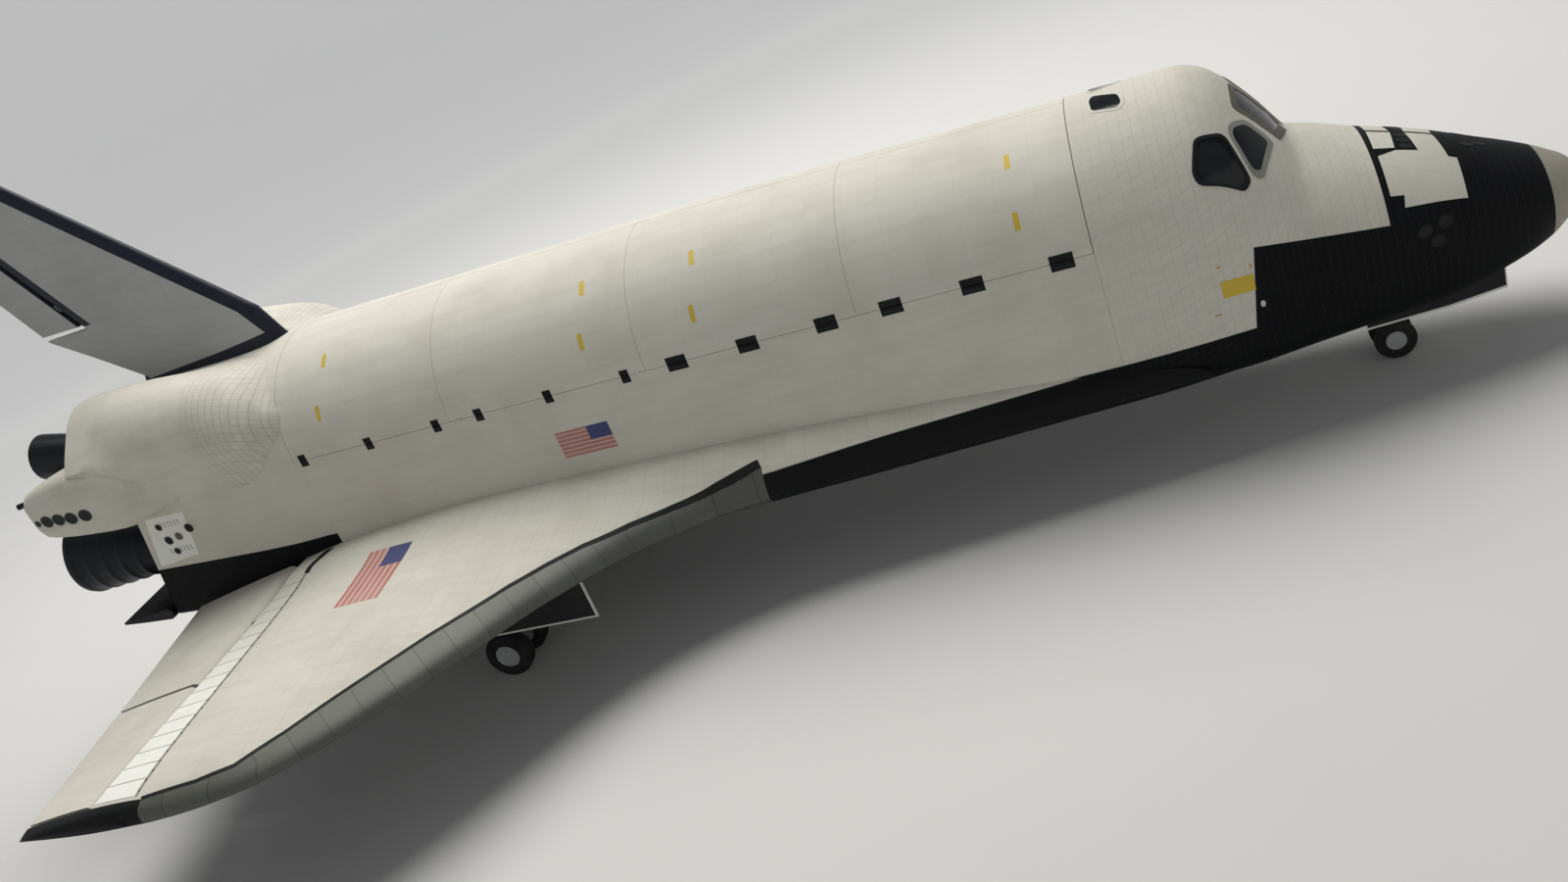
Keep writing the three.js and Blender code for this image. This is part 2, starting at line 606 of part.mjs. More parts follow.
const lining = doorShell(DOOR_SKIN + SEAM, 1.4, BAY_FRONT + 20, BAY_REAR - 170, 0.01, 0.35)
const radiator = lining.intersect(block(500, 1400, 6, 120, SILL + 12, 560))
add('payload_door_left', door, 'white_tile')
add('payload_door_right', starboard(door), 'white_tile')
add('radiator_left', radiator, 'radiator_silver')
add('radiator_right', starboard(radiator), 'radiator_silver')

// Pods of the orbital engines with their thruster housings
const POD_ROUND = 3
const POD_SIDES = 28
const HOUSING_POWER = 4
const turns = count => Array.from({ length: count }, (_, k) => (k / count) * 2 * Math.PI)
function podRing(row, grow) {
  const { half, shoulder, top } = rowAt(BODY, 'at', row.at)
  const crest = shoulder + (top - shoulder) * Math.sqrt(1 - Math.pow(row.near / half, 2))
  const spots = [
    [row.near + POD_ROUND, crest + row.above - POD_ROUND],
    [half + row.above - POD_ROUND, row.low + POD_ROUND],
    [row.flare - POD_ROUND, row.flareUp - POD_ROUND],
  ]
  const limits = turns(60).map(turn => {
    const [c, s] = [Math.cos(turn), Math.sin(turn)]
    const reaches = spots.map(([y, z]) => (y - row.out) * c + (z - row.up) * s + POD_ROUND)
    return { c, s, reach: Math.max(Math.hypot(row.half * c, row.rise * s), ...reaches) + grow }
  })
  return turns(POD_SIDES).map(turn => {
    const [c, s] = [Math.cos(turn), Math.sin(turn)]
    const facing = limits.filter(limit => limit.c * c + limit.s * s > 0.05)
    const far = Math.min(...facing.map(limit => limit.reach / (limit.c * c + limit.s * s)))
    return [-row.at, row.out + far * c, row.up + far * s]
  })
}
const podLoft = grow => loft(POD.map(row => podRing(row, grow)), true)
function housingLoft(grow) {
  const rings = HOUSING.map(row => {
    const [half, rise] = [(row.out - row.near) / 2 + grow, (row.high - row.low) / 2 + grow]
    return turns(20).map(turn => {
      const [c, s] = [Math.cos(turn), Math.sin(turn)]
      const far = Math.pow(Math.pow(Math.abs(c), HOUSING_POWER) + Math.pow(Math.abs(s), HOUSING_POWER), -1 / HOUSING_POWER)
      return [-row.at, (row.near + row.out) / 2 + half * far * c, (row.low + row.high) / 2 + rise * far * s]
    })
  })
  return loft(rings, false)
}
const pod = podLoft(0).add(housingLoft(0)).subtract(aftRoom)
add('oms_pod_left', pod, 'white_tile')
add('oms_pod_right', starboard(pod), 'white_tile')

// Main and orbital engines on their base
const SHIELD = 1.5
const shieldRoom = aftRoomTo(BASE_STATION + SHIELD + SEAM)
const lower = bell(LOWER).subtract(shieldRoom)
add('main_engine_upper', bell(UPPER).subtract(shieldRoom), 'nozzle_dark')
add('main_engine_left', lower, 'nozzle_dark')
add('main_engine_right', starboard(lower), 'nozzle_dark')
const dome = (at, y, z) => rod([-at, y, z], [-at - 26, y, z + 3], 48, 36, 28)
const domes = dome(1503, 0, 436).add(both(dome(1525, 56, 337)))
const plate = block(1400, 1580, -108, 108, 296, 484).intersect(shieldRoom)
const engineRoom = bell(UPPER, SEAM).add(both(bell(LOWER, SEAM)))
const podRoom = both(podLoft(SEAM).add(housingLoft(SEAM)))
const baseTop = block(1400, 1600, -130, 130, 490, 540)
const base = plate.add(domes).subtract(aftRoom).subtract(engineRoom).subtract(podRoom).subtract(baseTop)
add('base_heat_shield', base, 'dark_tile')
const podRear = POD[POD.length - 1].at + SEAM
const orbital = bell(ORBITAL).subtract(block(1400, podRear, 0, 200, 400, 600))
add('oms_nozzle_left', orbital, 'nozzle_dark')
add('oms_nozzle_right', starboard(orbital), 'nozzle_dark')

// Landing gear, legs down
const pitchDown = THREE.MathUtils.degToRad(GROUND_PITCH)
const groundAt = at => GROUND_LEVEL + (GROUND_STATION - at) * Math.tan(pitchDown)
const NOSE_WHEEL = { at: 378, out: 10.5, radius: 16, rim: 8, width: 8.8, axle: 2.2 }
const MAIN_WHEEL = { at: 1173, out: 18, radius: 22.25, rim: 11.5, width: 16, axle: 3.2 }
const MAIN_LEG = 137.5
const axleUp = spec => groundAt(spec.at) + spec.radius / Math.cos(pitchDown)
function onAxle(profile, spec, y) {
  return solidOf(turned(profile, 32).rotateY(-pitchDown).translate(-spec.at, y, axleUp(spec)))
}
function tyre(spec, y) {
  const half = spec.width / 2
  const r = spec.radius
  const side = [[spec.rim, half * 0.86], [r * 0.82, half], [r * 0.95, half * 0.86], [r, half * 0.55]]
  const other = side.map(([radius, h]) => [radius, -h])
  return onAxle([...other, ...side.reverse(), other[0]], spec, y)
}
function hubs(spec, y) {
  const edge = spec.rim - SEAM
  const far = spec.out + spec.width * 0.4
  const near = spec.out - spec.width * 0.4
  const side = [[spec.axle, near], [edge, near], [edge, far], [0, far]]
  const other = side.map(([radius, h]) => [radius, -h]).reverse()
  return onAxle([...other, ...side], spec, y)
}
const axleBore = (spec, y) => rod([-spec.at, y - 12, axleUp(spec)], [-spec.at, y + 12, axleUp(spec)], spec.axle + SEAM)
add('nose_tyre_left', tyre(NOSE_WHEEL, NOSE_WHEEL.out), 'tyre')
add('nose_tyre_right', tyre(NOSE_WHEEL, -NOSE_WHEEL.out), 'tyre')
add('nose_wheel_hubs', hubs(NOSE_WHEEL, 0), 'gear_metal')
const n = -NOSE_WHEEL.at
const STEER_TOP = 258
const noseAxle = axleUp(NOSE_WHEEL)
const eye = rod([n, -4.6, noseAxle], [n, 4.6, noseAxle], 4.2)
const fork = rod([n, 0, noseAxle], [n, 0, STEER_TOP], 3.4).add(rod([n, 0, STEER_TOP - 3], [n, 0, STEER_TOP], 5.2))
add('nose_gear_steering', fork.add(eye).subtract(axleBore(NOSE_WHEEL, 0)), 'gear_metal')
const noseLeg = rod([n, 0, STEER_TOP + SEAM], [n, 0, 340], 5.2).add(rod([n, 0, 272], [-318, 0, 334], 2.4))
add('nose_gear_leg', noseLeg.intersect(block(296.5, 401.5, -25, 25, 240, 330 - SEAM)), 'gear_metal')
const NOSE_DOOR = [[298, 298], [400, 288], [400, 254], [340, 258], [298, 264]]
const noseDoor = sidePlate(NOSE_DOOR, 26.2, 27.4).subtract(bodyLoft(CAP_REAR + SEAM, BAY_FRONT - SEAM, SEAM))
add('nose_gear_door_left', noseDoor, 'dark_tile')
add('nose_gear_door_right', starboard(noseDoor), 'dark_tile')
const m = -MAIN_WHEEL.at
const mainAxle = axleUp(MAIN_WHEEL)
const post = rod([m, MAIN_LEG, mainAxle], [m, MAIN_LEG, 310], 5.6)
const brace = rod([m, MAIN_LEG, 222], [-1086, MAIN_LEG, 310], 2.6)
const mainEye = rod([m, MAIN_LEG - 7, mainAxle], [m, MAIN_LEG + 7, mainAxle], 6.4)
const wellRoom = block(1063, 1207, 100, 163, 150, 304 - SEAM)
const leg = post.add(brace).add(mainEye).intersect(wellRoom).subtract(axleBore(MAIN_WHEEL, MAIN_LEG))
const panelGrown = wingPart([152, 166, 182], lead, boxRear, 14, SEAM)
const mainDoor = block(1064, 1206, 164.6, 166.4, 217, 280).subtract(panelGrown)
for (const [side, flip] of [['left', solid => solid], ['right', starboard]]) {
  add('main_tyre_inner_' + side, flip(tyre(MAIN_WHEEL, MAIN_LEG - MAIN_WHEEL.out)), 'tyre')
  add('main_tyre_outer_' + side, flip(tyre(MAIN_WHEEL, MAIN_LEG + MAIN_WHEEL.out)), 'tyre')
  add('main_wheel_hubs_' + side, flip(hubs(MAIN_WHEEL, MAIN_LEG)), 'gear_metal')
  add('main_gear_leg_' + side, flip(leg), 'gear_metal')
  add('main_gear_door_' + side, flip(mainDoor), 'dark_tile')
}

// Fittings on the belly that carry the body on its tank
const aftPad = rod([-1338, 96, 261], [-1338, 96, 275], 6.5).subtract(aftRoom)
const frontPad = rod([-428, 0, 270], [-428, 0, 285], 5).subtract(bodyLoft(400, BAY_REAR, SEAM))
add('attach_fitting_front', frontPad, 'gear_metal')
add('attach_fitting_left', aftPad, 'gear_metal')
add('attach_fitting_right', starboard(aftPad), 'gear_metal')

// From stations to the stand of the model
const stand = new THREE.Matrix4().makeTranslation(GROUND_STATION, 0, -GROUND_LEVEL)
stand.premultiply(new THREE.Matrix4().makeRotationY(pitchDown))
stand.premultiply(new THREE.Matrix4().makeTranslation(CENTRE_SHIFT, 0, 0))
stand.premultiply(new THREE.Matrix4().makeScale(INCH, INCH, INCH))

// Colour, roughness and metalness of each slot
const FINISH = {
  white_tile: [0xdedbd0, 0.8, 0],
  grey_tile: [0xb9bcbd, 0.8, 0],
  dark_tile: [0x24262b, 0.75, 0],
  nose_grey: [0x8f8e88, 0.7, 0],
  carbon_grey: [0x77777a, 0.65, 0],
  dark_glass: [0x0b0d10, 0.15, 0],
  dark_metal: [0x3a3c40, 0.5, 0.6],
  nozzle_dark: [0x1c1d20, 0.5, 0.4],
  radiator_silver: [0xb8bcc0, 0.25, 0.9],
  gear_metal: [0xb4b6b8, 0.4, 0.7],
  tyre: [0x1a1a1b, 0.9, 0],
}

const group = new THREE.Group()
group.name = 'space_shuttle'
for (const { name, solid, slot } of nodes) {
  const mesh = solid.getMesh()
  const geometry = new THREE.BufferGeometry()
  geometry.setAttribute('position', new THREE.BufferAttribute(new Float32Array(mesh.vertProperties), 3))
  geometry.setIndex(new THREE.BufferAttribute(new Uint32Array(mesh.triVerts), 1))
  geometry.applyMatrix4(stand)
  const [color, roughness, metalness] = FINISH[slot]
  const item = new THREE.Mesh(geometry, new THREE.MeshStandardMaterial({ color, roughness, metalness }))
  item.name = name
  group.add(item)
}

export default group
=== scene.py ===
import functools
import math

import bmesh
import bpy
import numpy as np
from mathutils import Matrix, Vector
from mathutils.geometry import delaunay_2d_cdt


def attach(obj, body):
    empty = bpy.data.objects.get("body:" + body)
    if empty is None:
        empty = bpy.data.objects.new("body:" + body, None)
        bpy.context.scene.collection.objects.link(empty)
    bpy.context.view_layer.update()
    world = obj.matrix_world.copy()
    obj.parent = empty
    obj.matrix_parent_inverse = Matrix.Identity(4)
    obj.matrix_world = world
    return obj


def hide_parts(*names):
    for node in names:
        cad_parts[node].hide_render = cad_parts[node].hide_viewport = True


bl_info = {
    "name": "Spaceplane Display Model",
    "version": (1, 0, 0),
    "blender": (4, 5, 0),
    "location": "View3D > Sidebar > Spaceplane",
    "description": "Dresses a 1:6 display model of a winged spaceplane on its landing gear",
    "category": "Object",
}

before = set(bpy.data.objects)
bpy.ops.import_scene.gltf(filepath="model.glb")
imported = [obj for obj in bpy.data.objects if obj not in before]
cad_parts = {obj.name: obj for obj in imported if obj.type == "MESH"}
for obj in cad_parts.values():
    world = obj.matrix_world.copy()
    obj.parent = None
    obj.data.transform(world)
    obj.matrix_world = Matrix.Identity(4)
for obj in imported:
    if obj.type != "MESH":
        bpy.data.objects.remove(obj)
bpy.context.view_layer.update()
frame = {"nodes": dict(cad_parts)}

# Scale and stand of the model, in inches of the full-size vehicle
INCH = 0.0254 / 6
PITCH = math.radians(3.5)
GROUND_STATION = 1173
GROUND_LEVEL = 168
CENTRE_SHIFT = -206.778

# Sides of the model, with the sign of their distance out
SIDES = (("left", 1), ("right", -1))

# Stations and heights of the body
NOSE_TIP = 238.5
NOSE_LEVEL = 328
CAP_REAR = 266
BAY_FRONT = 582
BAY_REAR = 1322
BAY_WALL = 12
BAY_RADIUS = 93
BAY_CENTRE = 402
SILL = 405
DOOR_HALF = 104
DOOR_THICK = 5
LEAN_FROM = 1490
LEAN_FOOT = 270
BASE_STATION = 1545
BASE_LEAN = math.tan(math.radians(12))

# Hinges of the wings, flap and rudder
ELEVON_HINGE = 1380
ELEVONS = (("inboard", 116.5, 283, (134, 200, 266)), ("outboard", 287, 424, (302, 356, 410)))
FLAP_HINGE = 1549
FLAP_LEVEL = 285
FLAP_LUGS = (-102, -36, 36, 102)
RUDDER_BASE = 566
RUDDER_HEAD = 800
LUG_HALF = 2
ROOM_HALF = 2.3

# Gaps between pieces that touch at rest, and between an elevon and its wing
SEAM = 0.071
PLAY = 1.276

# Points of a bay section, a door panel, a wing face, a pod section, a round cutter and a soft corner
BAY_TURNS = 41
DOOR_TURNS = 34
WING_STEPS = 46
POD_POINTS = 64
CUTTER_SIDES = 16
CORNER_POINTS = 4

# How far a raised frame reaches under the skin
FRAME_DEPTH = 0.6

# Body sections: station, belly, corner radius, half width, shoulder, top
BODY = np.array([
    (NOSE_TIP, 321, 6, 7, NOSE_LEVEL, 335),
    (244, 308, 18, 21, 327, 345),
    (254, 300, 27, 34, 326, 352),
    (266, 293, 32, 44, 326, 359),
    (300, 284, 34, 60, 329, 375),
    (340, 278, 33, 72, 335, 393),
    (380, 277, 31, 81, 343, 407),
    (414, 276, 29, 87, 353, 420),
    (428, 275.5, 28, 89, 358, 424),
    (442, 275, 27, 91, 364, 445),
    (462, 274, 26, 94, 374, 471),
    (482, 273, 25, 97, 384, 488),
    (500, 272.5, 25, 99, 390, 493),
    (530, 271, 24, 102, 397, 493),
    (582, 269, 22, 104, 405, 493),
    (760, 267, 12, 104, 405, 497),
    (944, 267, 10, 104, 405, 500),
    (1322, 267, 8, 104, 405, 500),
    (1345, 267.5, 8, 107, 407, 497),
    (1365, 268, 8, 110, 409, 494.5),
    (1420, 271, 8, 112, 412, 493),
    (1545, 278, 8, 112, 412, 490),
])

# Wing sections: distance out, leading and trailing stations, lower face, thickness, crest
WING = np.array([
    (104, 520, 1509, 268, 58, 0.62),
    (124, 700, 1504.4, 268.5, 56, 0.6),
    (143, 880, 1500, 269.2, 53, 0.55),
    (152, 918, 1498, 269.6, 51, 0.5),
    (166, 955, 1495.4, 270.2, 49, 0.44),
    (182, 988, 1492, 271, 47, 0.4),
    (204, 1019, 1487.6, 272.4, 44, 0.37),
    (240, 1058, 1480.5, 274.6, 39.5, 0.36),
    (300, 1108, 1468.6, 278.3, 33, 0.36),
    (350, 1152, 1459, 281.4, 28, 0.36),
    (395, 1199, 1450.5, 284.2, 22.5, 0.36),
    (415, 1228, 1446.7, 285.4, 19, 0.38),
    (428, 1261, 1444.3, 286.3, 15.5, 0.4),
    (436, 1299, 1442.8, 286.9, 12, 0.42),
    (438.5, 1336, 1442.3, 287.5, 8, 0.42),
])
WING_ROOT, WING_TIP = WING[0, 0], WING[-1, 0]
TIP_FROM = 427

# Share of a wing section that lies under its widest line, curve of its rear part, half of its rear edge
WING_UNDER = 0.3
WING_TAPER = 1.7
WING_EDGE = 0.7

# Line in plan behind the grey leading edge: station and distance out
EDGE_LINE = np.array([
    (880, 134),
    (920, 145),
    (957, 158),
    (993, 173),
    (1030, 193),
    (1056, 212),
    (1083, 235),
    (1135, 288),
    (1190, 350),
    (1216, 380),
    (1246, 408),
    (1275, 419),
    (1320, 428),
], float)

# Fin sections: height, leading and trailing stations, thickness
FIN = np.array([
    (494, 1337, 1512, 26),
    (531, 1354, 1562, 25),
    (559, 1383, 1602, 24),
    (800, 1639, 1737, 13),
    (815.7, 1659, 1743, 10),
])
FIN_FOOT = 476

# Pod sections: station, centre out and up, half width, half height, then the spots that
# the skin spans to: inner edge, its rise over the body, lower edge, outer corner
POD = np.array([
    (1332, 80, 442, 24, 24, 40, -3, 425, 100, 440),
    (1342, 82, 444, 36, 33, 36, -1.5, 416, 105, 442),
    (1355, 83, 448, 42, 40, 32, 0.5, 405, 110, 445),
    (1372, 83, 452, 46, 46, 26, 1.5, 398, 115, 448),
    (1405, 82, 455, 49, 51, 20, 1.5, 393, 120, 450),
    (1455, 81, 457, 51, 55, 20, 1.5, 391, 128, 452),
    (1490, 80, 458, 50, 55, 26, 1.5, 388, 138, 460),
    (1519, 79, 458, 49, 54, 44, 1, 388, 143, 466),
    (1529, 79, 458, 49, 53, 50, 1, 394, 143, 466),
    (1532, 79, 458, 45, 49, 56, -2, 402, 139, 462),
])
POD_CORNER = 3

# Thruster housings: station, inner and outer face, lower and upper face
HOUSING = np.array([
    (1466, 90, 126, 400, 440),
    (1500, 96, 143, 395, 463),
    (1540, 104, 148, 399, 466),
    (1572, 112, 149, 404, 461),
    (1588, 116, 148.5, 408, 456),
    (1594, 120, 146, 414, 451),
])
TABLES = {"body": BODY, "wing": WING, "pod": POD, "housing": HOUSING}

# Tapered fronts of pods and housings: length, steps, power, narrowing, flattening, shift in, shift up
POD_FRONT = (18, 3, 1.5, 0.3, 0.3, -7, -9)
HOUSING_FRONT = (45, 5, 1.6, 0.3, 0.35, -22, 6)

# Main nozzles: name, length, station, distance out, height, pitch, yaw
MAIN_NOZZLES = (
    ("upper", 132, 1480, 0, 428, 6, 0),
    ("left", 128, 1516, 57, 334, 9, 3.5),
    ("right", 128, 1516, -57, 334, 9, -3.5),
)
DOMES = (("upper", 1503, 0, 436), ("left", 1525, 56, 337), ("right", 1525, -56, 337))
DOME_PROFILE = ((0, 48), (6, 47.6), (12, 46), (18, 43), (23, 39.6), (26, 36), (27, 31), (27.2, 15))
POD_NOZZLE = (1523, 88, 462)

# Plate at the base by its middle and half sizes out and up, and half a section of the body flap
BASE_PLATE = ((0, 390), (108, 94))
FLAP_HALF = 116
FLAP_SECTION = ((-5.4, 1), (-5.2, 2.4), (-4.2, 4), (-2.4, 5.3), (0, 6), (30, 3.9), (60, 1.2))

# Vents on the line between body and doors, and the door hinges, by station
WIDE_VENTS = (606, 674.6, 739.8, 794, 862, 926)
SMALL_VENTS = (974.5, 1049.4, 1119.8, 1164.4, 1237.7, 1311.7)
VENTS = [(at, 18, 5.6) for at in WIDE_VENTS] + [(at, 8, 5.2) for at in SMALL_VENTS]
KNUCKLES = (612, 788, 964, 1140, 1292)

# Seams across the bay doors, by station
DOOR_SEAMS = (768.0, 955.0, 1149.0)

# Straight borders of the painted fields, each by a place, the level there and its slope
CABIN_BORDER = (383.1, 359, 0.1794)
CABIN_REAR_BORDER = (375, 473.5, -0.1435)
BELLY_BORDER = (477, 312.3, -0.0237)
TAIL_BORDER = (1325, 325, 0.0443)
GLOVE_BORDER = (600, 102, 0.126)
FIN_LEAD_BORDERS = ((559, 1383, 1.0623), (531, 1354, 0.6))
FIN_ROOT_BORDER = (1360, 506.0, -0.075)

# Window panes: name, size outside and inside the frame, frame colour, corners by station, out and height
PANES = (
    ("side", 1.07, 0.92, "black",
     ((496.6, 73.7, 458), (476.9, 68.7, 454.1), (466.3, 83.8, 422.3), (472.4, 89.1, 416.6),
      (499.6, 91.2, 430), (502.7, 87.8, 438.5))),
    ("middle", 1.0, 0.78, "frame",
     ((471.7, 59.7, 458.4), (460.3, 48.4, 455.4), (443.1, 50.9, 432.6), (456.5, 80.5, 418.2),
      (462.9, 82.3, 421.7), (473.4, 66.7, 453.4))),
    ("front", 1.0, 0.74, "frame_dark",
     ((463.5, 3.5, 472.5), (428.5, 4, 423.1), (437.8, 42.2, 429.2), (466.1, 44.1, 463.8))),
)
ROOF_PANE = ((564, 15), (561, 5), (541, 16), (539, 31), (543, 38), (563, 33))

# White panels on top of the nose, by station and distance out
NOSE_PANELS = (
    ("front", ((375, 2), (359, 2), (361.5, 28), (376, 30.6))),
    ("wide", ((349, 2), (331, 2), (328.4, 33.4), (323, 33.6), (324.6, 60.4), (367.5, 71.4),
              (366, 65.8), (375.2, 67.7), (375, 39), (361.5, 31), (346.6, 29.7))),
)

# Round ports on the nose: name, half sizes, and places by station and distance out or height
TOP_PORTS = (
    ("up_thruster", (4.6, 3.4), ((353.5, 8), (353.5, 16.5), (353.5, 25))),
    ("nose_port", (5.0, 3.2), ((302.5, 9), (311.5, 13))),
)
SIDE_THRUSTERS = ((357.5, 346), (343, 348), (350, 336))

# Yellow door marks by station, distance out and height, and faded side marks by place and size
DOOR_MARKS = (
    (629.6, 59.6, 477.5), (630.8, 94.6, 441.7), (893, 67.8, 476.8), (899.5, 96.6, 440.1),
    (996, 66.9, 477.8), (1003, 95.9, 441.8), (1267, 64.7, 479.4), (1277, 95.6, 442.5),
)
FADED_MARKS = ((500, 368, 3, 2.4), (507, 331, 5, 1.6), (478, 362, 2.2, 3.4))

# Supply plate by the tail: its corners, and its ports by station, height, radius and colour
SERVICE_PLATE = ((1509, 390), (1462, 389), (1474, 341.5), (1525, 337))
SERVICE_PORTS = (
    (1499, 379, 3.6, "black"), (1497, 363, 4.6, "black"), (1495, 350, 3.6, "black"),
    (1466, 371, 4.8, "black"), (1483, 365, 4.2, "frame_dark"),
)
SERVICE_TICKS = 7

# Side thrusters of the housings by station, height and radius, and rear ports by distance out
POD_THRUSTERS = ((1530, 424, 5.6), (1546, 425, 5.6), (1560, 427, 5.6), (1574, 428, 5.6), (1586, 428, 2.6))
REAR_PORT_OUTS = (127, 139)

# Crew hatch: place, and radii of its seam and its window frame
HATCH = (510, 372)
HATCH_RADII = (20, 19.2, 6.2, 4.8)

# Flags: middle and size on the side, and edges on the wing
SIDE_FLAG = (1034, 357.2, 52, 25.5)
WING_FLAG = (1212, 1259, 150, 226)

# Wheels: station, tyre radius, rim radius, tyre width and hub width; then places out
NOSE_WHEEL = (378, 16, 8, 8.8, 7.0)
MAIN_WHEEL = (GROUND_STATION, 22.25, 11.5, 16, 12.8)
NOSE_OUT = 10.5
MAIN_OUTS = (("inner", 119.5, -1), ("outer", 155.5, 1))
MAIN_LEG = 137.5
LEG_TOP = 300

# Wheel wells by their two corners
NOSE_WELL = ((296, -26, 240), (402, 26, 330))
MAIN_WELL = ((1062, 112, 200), (1208, 164, 304))

# Open gear doors: name, outline by station and height, inner and outer face by distance out
GEAR_DOORS = (
    ("nose", ((299, 292), (399, 284), (399, 256), (340, 260), (299, 266)), 26.2, 27.4),
    ("main", ((1066, 262), (1204, 262), (1204, 219), (1066, 219)), 164.6, 166.4),
)

# Camera: place in inches, level ways along its view and down its picture, lens and sensor in mm
CAMERA_PLACE = (525.5, -1001.2, 749.6)
CAMERA_VIEW = (-0.3212, 0.8515, -0.4145)
CAMERA_DOWN = (-0.2144, -0.4917, -0.844)
CAMERA_LENS, CAMERA_SENSOR = 28.8, 36.0

# Lights: name, place, target, width in metres, power in watts and colour
LIGHTS = (
    ("light_top", (-1.0, 3.0, 9.0), (0, 0, 0.5), 9.0, 1180.0, (1.0, 0.98, 0.94)),
    ("light_front", (8.0, -6.0, 6.0), (0, 0, 0.8), 6.0, 25.0, (1.0, 0.98, 0.95)),
)


def inches(name, description, value, least):
    return bpy.props.FloatProperty(name=name, description=description, default=value, min=least)


def count_of(name, description, value, least):
    return bpy.props.IntProperty(name=name, description=description, default=value, min=least)


def colour(name, description, value):
    settings = {"size": 3, "subtype": "COLOR", "min": 0, "max": 1}
    return bpy.props.FloatVectorProperty(name=name, description=description, default=value, **settings)


class OrbiterSizes(bpy.types.PropertyGroup):
    """Sizes of the dressing, in inches of the full-size vehicle"""

    tile: inches("Tile", "Side of a surface tile", 8.0, 2.0)
    joint: inches("Joint", "Width of a joint between tiles", 0.3, 0.05)
    seam: inches("Seam", "Width of a dark seam between panels", 0.9, 0.1)
    relief: inches("Relief", "Height of a marking above the skin", 0.22, 0.05)
    rib: inches("Nozzle rib", "Height of a rib round a nozzle", 1.6, 0.2)
    ribs: count_of("Nozzle ribs", "Ribs round each main nozzle", 7, 1)
    bay_frames: count_of("Bay frames", "Frames across the load bay", 12, 2)
    edge_panels: count_of("Edge panels", "Grey panels along a leading edge", 22, 2)
    floor: bpy.props.FloatProperty(
        name="Floor", description="Width of the floor", default=60.0, min=5.0, unit="LENGTH"
    )


class OrbiterColours(bpy.types.PropertyGroup):
    """Colours of the finishes"""

    cream: colour("Cream", "Upper tiles and blankets", (0.60, 0.585, 0.52))
    bright: colour("Bright", "New white tiles and strips", (0.80, 0.80, 0.76))
    # Grey of the fin and rudder, well under the cream: partly the blankets' own cooler tone, partly painted
    # shade of the fin
    grey: colour("Grey", "Fin and rudder blankets", (0.41, 0.415, 0.41))
    black: colour("Black", "Lower tiles", (0.0035, 0.004, 0.005))
    navy: colour("Navy", "Leading edge of the fin", (0.008, 0.010, 0.024))
    cap: colour("Nose cap", "Cap of the nose", (0.32, 0.30, 0.25))
    carbon: colour("Carbon", "Leading edge panels", (0.088, 0.094, 0.080))
    frame: colour("Window frame", "Frames of the middle windows", (0.25, 0.25, 0.23))
    frame_dark: colour("Front frame", "Frames of the front windows", (0.115, 0.105, 0.085))
    glass: colour("Glass", "Window panes", (0.006, 0.007, 0.009))
    nozzle: colour("Nozzle", "Main nozzles", (0.016, 0.018, 0.022))
    metal: colour("Metal", "Painted gear parts", (0.55, 0.56, 0.57))
    rubber: colour("Rubber", "Tyres", (0.014, 0.014, 0.015))
    liner: colour("Bay liner", "Cloth lining of the load bay", (0.55, 0.54, 0.48))
    silver: colour("Radiator", "Faces of the radiators", (0.66, 0.67, 0.69))
    yellow: colour("Yellow", "Warning marks", (0.60, 0.44, 0.05))
    orange: colour("Orange", "Faded marks", (0.55, 0.36, 0.20))
    red: colour("Flag red", "Stripes of the flag", (0.42, 0.15, 0.13))
    blue: colour("Flag blue", "Canton of the flag", (0.055, 0.065, 0.17))
    floor: colour("Floor", "Studio floor", (0.62, 0.62, 0.61))


def colours():
    return bpy.context.scene.spaceplane_colours


def sizes():
    return bpy.context.scene.spaceplane_sizes


# Geometry by station


def place(points):
    """World places in metres of points by station, distance out and height."""
    p = np.asarray(points, float)
    x = GROUND_STATION - p[..., 0]
    z = p[..., 2] - GROUND_LEVEL
    ahead = x * math.cos(PITCH) + z * math.sin(PITCH) + CENTRE_SHIFT
    up = z * math.cos(PITCH) - x * math.sin(PITCH)
    return np.stack([ahead, p[..., 1], up], -1) * INCH


@functools.lru_cache(maxsize=None)
def smooth_row(table, value):
    """Row of a named table at a value of its first column, on smooth monotone curves."""
    rows = TABLES[table]
    xs = rows[:, 0]
    q = min(max(value, xs[0]), xs[-1])
    k = min(max(int(np.searchsorted(xs, q)) - 1, 0), len(xs) - 2)
    h = np.diff(xs)
    slope = np.diff(rows[:, 1:], axis=0) / h[:, None]

    def tangent(i):
        if i == 0 or i == len(xs) - 1:
            return slope[min(i, len(slope) - 1)]
        before, after = slope[i - 1], slope[i]
        a, b = 2 * h[i] + h[i - 1], h[i] + 2 * h[i - 1]
        same = before * after > 0
        safe_before, safe_after = np.where(same, before, 1), np.where(same, after, 1)
        return np.where(same, (a + b) / (a / safe_before + b / safe_after), 0)

    t = (q - xs[k]) / h[k]
    y0, y1 = rows[k, 1:], rows[k + 1, 1:]
    rise = (2 * t**3 - 3 * t**2 + 1) * y0 + (3 * t**2 - 2 * t**3) * y1
    return rise + ((t**3 - 2 * t**2 + t) * tangent(k) + (t**3 - t**2) * tangent(k + 1)) * h[k]


def spread(start, end, step):
    """Even values from start to end, about a step apart."""
    return np.linspace(start, end, max(2, int(round(abs(end - start) / step)) + 1))


def lengths(points, axis=0):
    """Lengths from each point to the next."""
    return np.linalg.norm(np.diff(points, axis=axis), axis=-1)


@functools.lru_cache(maxsize=None)
def half_run(at):
    """Half section at a station, and the girth at each of its points."""
    half = half_ring(at)
    return half, np.concatenate([[0], np.cumsum(lengths(half))])


